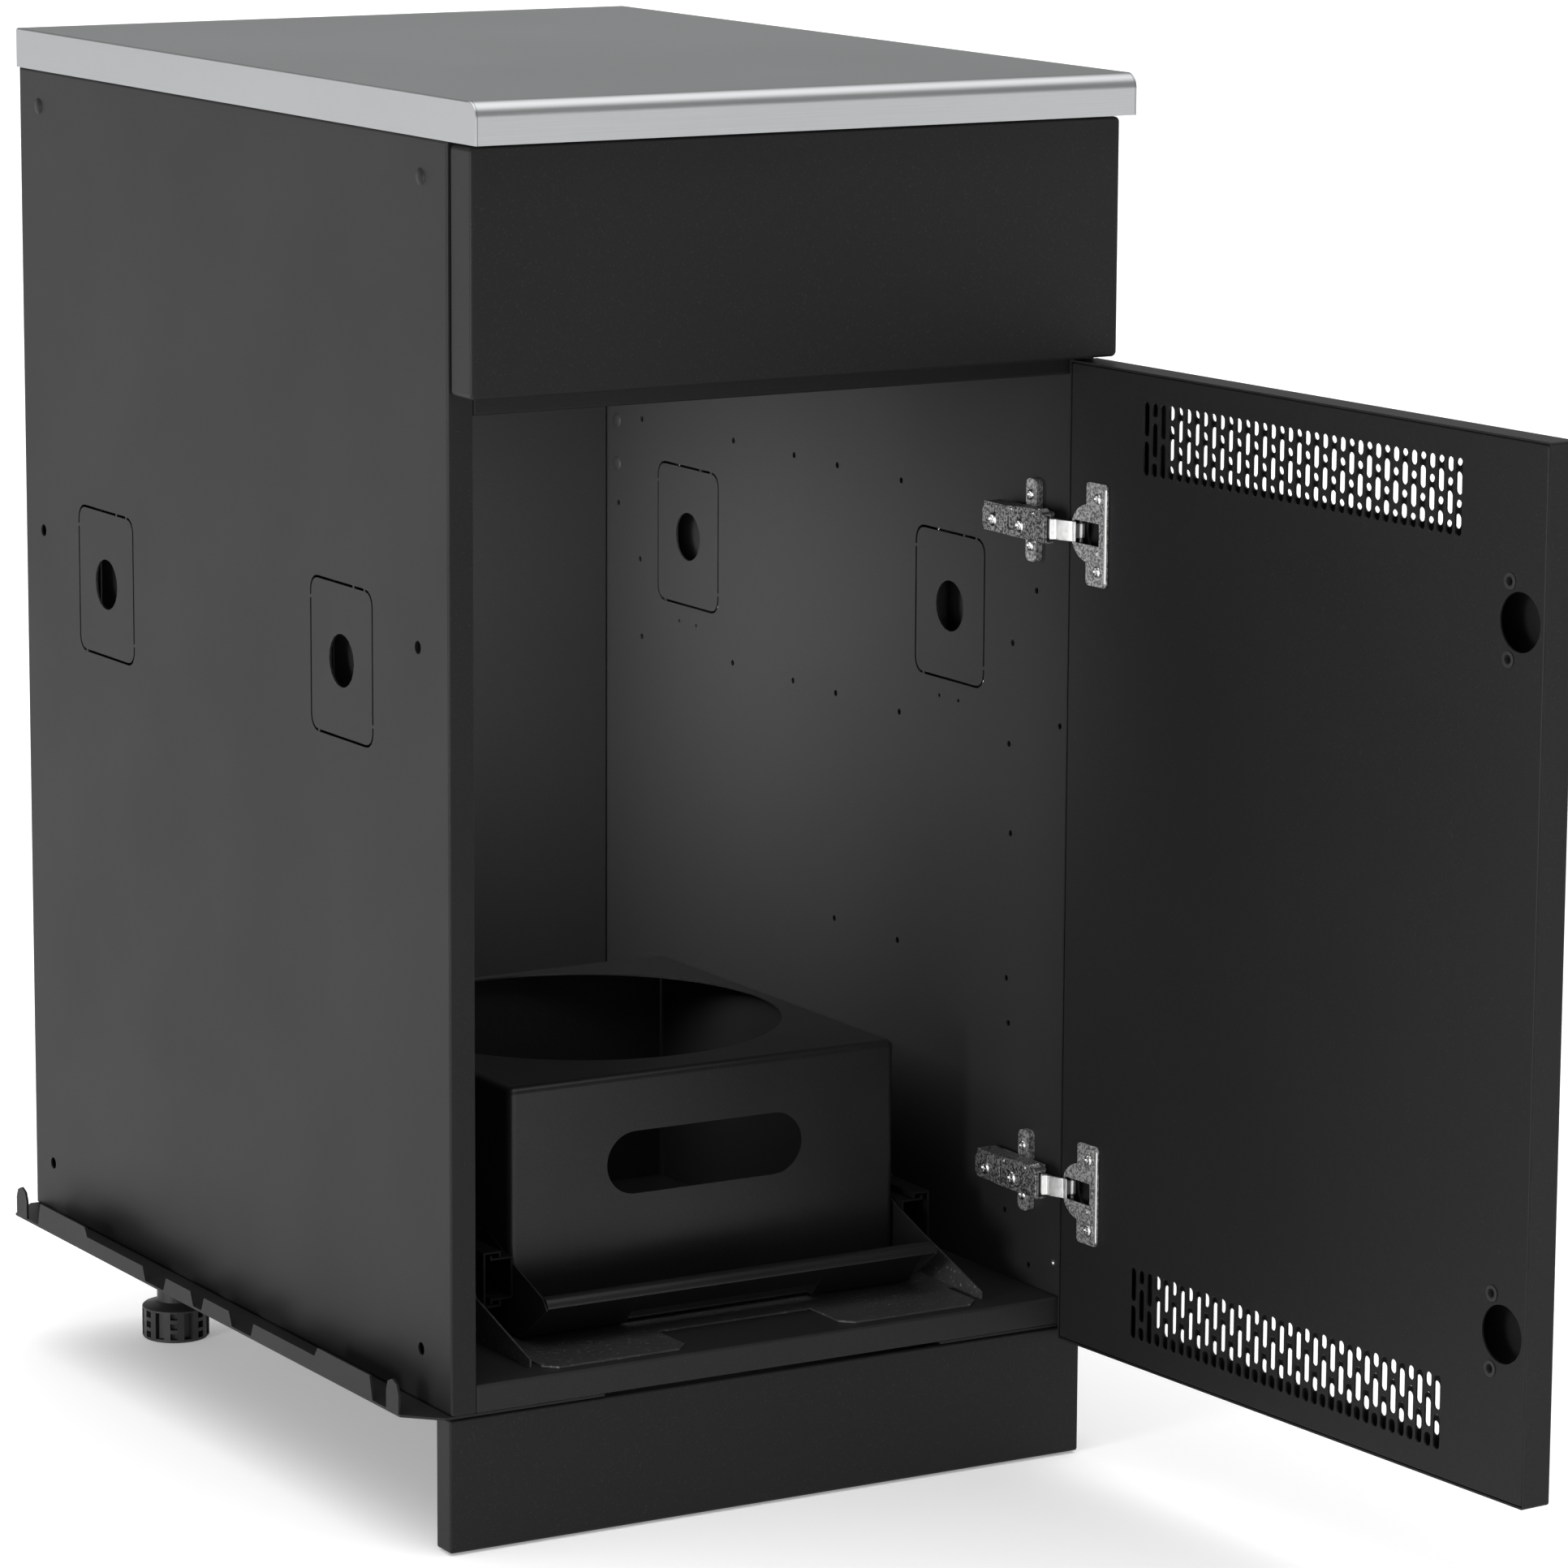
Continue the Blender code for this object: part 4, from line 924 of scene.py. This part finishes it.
def build_collar():
    fold, slot_drop, slot_depth = 0.005, 0.057, 0.004
    slot_half_width, slot_half_height = 0.070, 0.020
    low, high = body_box("tray_collar")
    middle = (0, low.y + collar_front_margin + collar_hole_radius)
    hole = circle(*middle, collar_hole_radius, 96)
    corners = ((low.x, low.y), (high.x, high.y))
    shape = pan(2, high.z, low.z, *corners, [hole], fold, fold, 10)
    item = make("tray_collar_skin", *shape, paint_tray, "tray", ("tray_collar",))
    slot = rounded(
        (-slot_half_width, high.z - slot_drop - slot_half_height),
        (slot_half_width, high.z - slot_drop + slot_half_height), slot_half_height - slot_flat, 12,
    )
    cut(item, plate(1, low.y - slot_depth, low.y + slot_depth, slot))
    flatten(item)


def build_pan():
    foot, foot_radius, foot_slope, lip_radius = 0.070, 0.003, math.radians(38), 0.0065
    notch, notch_height, notch_depth = 0.067, 0.0075, 0.0045
    lip_height, curl_start = 0.0345, math.radians(45)
    step_y, step_height, side_y, side_height = 0.083, 0.049, 0.112, 0.061
    low, high = body_box("tray_pan")
    half, back, bottom = sheet / 2, high.y, low.z
    lip_top = floor_top + lip_height + half
    centre = (low.y + lip_radius, lip_top + half - lip_radius)
    curl = arc(*centre, lip_radius - half, curl_start, math.pi, 12)
    bend = arc(foot, bottom + half + foot_radius, foot_radius, -quarter, -quarter - foot_slope, 5)
    rear = [(back - half, lip_top), (back - half, bottom + half)]
    reach = high.x - half
    parts = []
    for start, end in ((-reach, -notch), (notch, reach)):
        parts.append(plate(0, start, end, band(rear + bend + curl, sheet)))
    short = rear + [(foot + notch_depth, bottom + half)]
    parts.append(plate(0, -notch, notch, band(short, sheet)))
    rise = notch_height / (curl[0][1] - bend[-1][1])
    above = Vector(bend[-1]).lerp(Vector(curl[0]), rise)
    parts.append(plate(0, -notch, notch, band([tuple(above)] + curl, sheet)))
    side_top = floor_top + side_height
    outline = [
        (centre[0], lip_top), (step_y, floor_top + step_height), (side_y, side_top),
        (back, side_top), (back, bottom), (foot - half, bottom),
        (low.y + half, lip_top - lip_radius),
    ]
    for start, end in ((-high.x, sheet - high.x), (high.x - sheet, high.x)):
        parts.append(plate(0, start, end, outline))
    item = make("tray_pan_skin", *join(*parts), paint_tray, "tray", ("tray_pan",))
    soften(item, 0.0004)


# Small details: dimples of the outer skin, dimples and a rivet of the inner one, and the
# plugs that close the right wall's outer holes

def build_marks():
    dome = ((0, 0), (0.0054, 0), (0.0049, 0.0005), (0.0030, 0.0011), (0, 0.0014))
    rivet = ((0, 0), (0.0022, 0), (0.0021, 0.0006), (0.0013, 0.0011), (0, 0.0013))
    lift, dome_height, inner_dome_y = 0.00005, 0.829, 0.574
    for side, name in zip((-1, 1), sides):
        outer, inner = side * (half_width + lift), side * (side_inner - lift)
        for place_name, y in (("rear", 0.570), ("front", 0.033)):
            shape = revolve(dome, (outer, y, dome_height), 0, side, 24)
            make(f"dimple_{name}_{place_name}", *shape, paint, "cabinet")
        for place_name, z in (("high", 0.595), ("low", 0.565)):
            shape = revolve(dome, (inner, inner_dome_y, z), 0, -side, 20)
            make(f"inner_dimple_{name}_{place_name}", *shape, paint_inside_painted_light, "cabinet")
        shape = revolve(rivet, (inner, 0.0086, 0.125), 0, -side, 20)
        make(f"rivet_{name}", *shape, screw_steel, "cabinet")
    barrel, rim = 0.0163, 0.0196
    plug = (
        (0, 0.0002), (0.0158, 0.0002), (barrel, 0.0006), (barrel, sheet), (rim, sheet),
        (0.0200, sheet + 0.0004), (rim, sheet + 0.0010), (0, sheet + 0.0010),
    )
    for place_name, y in hose_holes:
        shape = revolve(plug, (half_width, y, hose_hole_height), 0, -1, 48)
        make(f"hole_plug_{place_name}", *shape, paint, "cabinet")


def finish_nodes():
    """Finishes of the CAD nodes that are carried over as they are."""
    for front in fronts:
        finish_node(f"worktop_stiffener_{front}", worktop_steel)
    for side in sides:
        finish_node(f"side_panel_{side}_outer", paint)
        finish_node(f"side_panel_{side}_inner", paint_inside_painted_light)
        finish_node(f"base_rail_{side}", paint, 0.0003)
        finish_node(f"fascia_clip_{side}", bright_zinc)
        finish_node(f"toe_kick_clip_{side}", bright_zinc)
        # The slides take the darker coat as painted shade.
        finish_node(f"slide_fixed_{side}", paint_slide_painted_shade)
        finish_node(f"slide_moving_{side}", paint_slide_painted_shade)
    finish_node("back_rail", paint_inside_painted_light)
    finish_node("tray_base", paint_rough, 0.0004)
    for level, _ in hinges:
        finish_node(f"hinge_plate_{level}", cast_zinc, 0.0004)
        finish_node(f"hinge_arm_{level}", dark_cast, 0.00025)
    for foot in feet:
        finish_node(f"{foot}_stud", screw_steel)


# Stage, lights and camera

def build_stage():
    """A wide white floor that camera, mirror and clear rays see a little brighter."""
    radius, steps, glow = 60, 96, 0.28
    mesh = bpy.data.meshes.new("floor")
    mesh.from_pydata([(u, v, 0) for u, v in circle(0, 0, radius, steps)], [], [tuple(range(steps))])
    floor = add("floor", mesh)
    material, tree, surface = tree_of("pale_floor")
    surface.inputs["Base Color"].default_value = (0.92, 0.92, 0.92, 1)
    surface.inputs["Roughness"].default_value = 0.9
    surface.inputs["Specular IOR Level"].default_value = 0.0
    rays = tree.nodes.new("ShaderNodeLightPath")
    surface.inputs["Emission Color"].default_value = (1, 1, 1, 1)
    seen = math_node(tree, "MAXIMUM", rays.outputs["Is Camera Ray"], rays.outputs["Is Glossy Ray"])
    seen = math_node(tree, "MAXIMUM", seen, rays.outputs["Is Transmission Ray"])
    tree.links.new(ramp(tree, seen, 0, 1, 0, glow), surface.inputs["Emission Strength"])
    mesh.materials.append(material)


def build_world():
    """White at the horizon, grey above it and bright overhead, for even light from the top."""
    world = bpy.data.worlds.new("studio")
    bpy.context.scene.world = world
    world.use_nodes = True
    tree = world.node_tree
    background = tree.nodes["Background"]
    coordinates = tree.nodes.new("ShaderNodeTexCoord")
    parts = tree.nodes.new("ShaderNodeSeparateXYZ")
    tree.links.new(coordinates.outputs["Generated"], parts.inputs["Vector"])
    horizon = ramp(tree, parts.outputs["Z"], 0.02, 0.12, 0.65, 0.0)
    overhead = ramp(tree, parts.outputs["Z"], 0.62, 0.85, 0.0, 1.7)
    sky = math_node(tree, "ADD", math_node(tree, "ADD", horizon, overhead), 0.34)
    tree.links.new(sky, background.inputs["Strength"])
    background.inputs["Color"].default_value = (1, 1, 1, 1)


def lamp(name, energy, location, aim, size, spread=180):
    data = bpy.data.lights.new(name, "AREA")
    data.energy = energy
    data.size = size
    data.spread = math.radians(spread)
    item = add(name, data)
    item.location = location
    item.rotation_euler = (Vector(aim) - Vector(location)).to_track_quat("-Z", "Y").to_euler()
    item.visible_camera = False


def build_lamps():
    """One lamp beside the cabinet and two inside it, which light its right wall and its back."""
    lamp("left_fill", 56, (-3.3, -0.9, 0.55), (0.1, -0.1, 0.45), 0.9)
    start, aim = (-0.16, 0.38 + front_y, 0.53), (0.21, 0.40 + front_y, 0.44)
    lamp("inner_fill", 1.7, start, aim, 0.28, 104)
    start, aim = (-0.05, 0.22 + front_y, 0.55), (-0.05, 0.60 + front_y, 0.50)
    lamp("back_fill", 0.55, start, aim, 0.25, 120)


def build_camera():
    data = bpy.data.cameras.new("camera")
    data.sensor_width = 36
    data.lens = 153.58
    data.clip_end = 200
    camera = add("camera", data)
    camera.location = (-2.0271, -3.5038, 1.2054)
    yaw, pitch, roll = math.radians(-30.636), math.radians(-10.687), math.radians(0.31)
    turn = Matrix.Rotation(yaw, 4, "Z")
    turn = turn @ Matrix.Rotation(quarter + pitch, 4, "X") @ Matrix.Rotation(roll, 4, "Z")
    camera.rotation_euler = turn.to_euler()
    bpy.context.scene.camera = camera


build_door()
build_inserts()
build_worktop()
build_panels()
build_collar()
build_pan()
build_marks()
for level, height in hinges:
    build_cup(level, height)
    build_link(level, height)
    build_arm_details(level, height)
    build_plate_screws(level, height)
for foot in feet:
    build_pad(foot)
finish_nodes()
build_stage()
build_world()
build_lamps()
build_camera()
bpy.context.scene.view_settings.view_transform = "Standard"
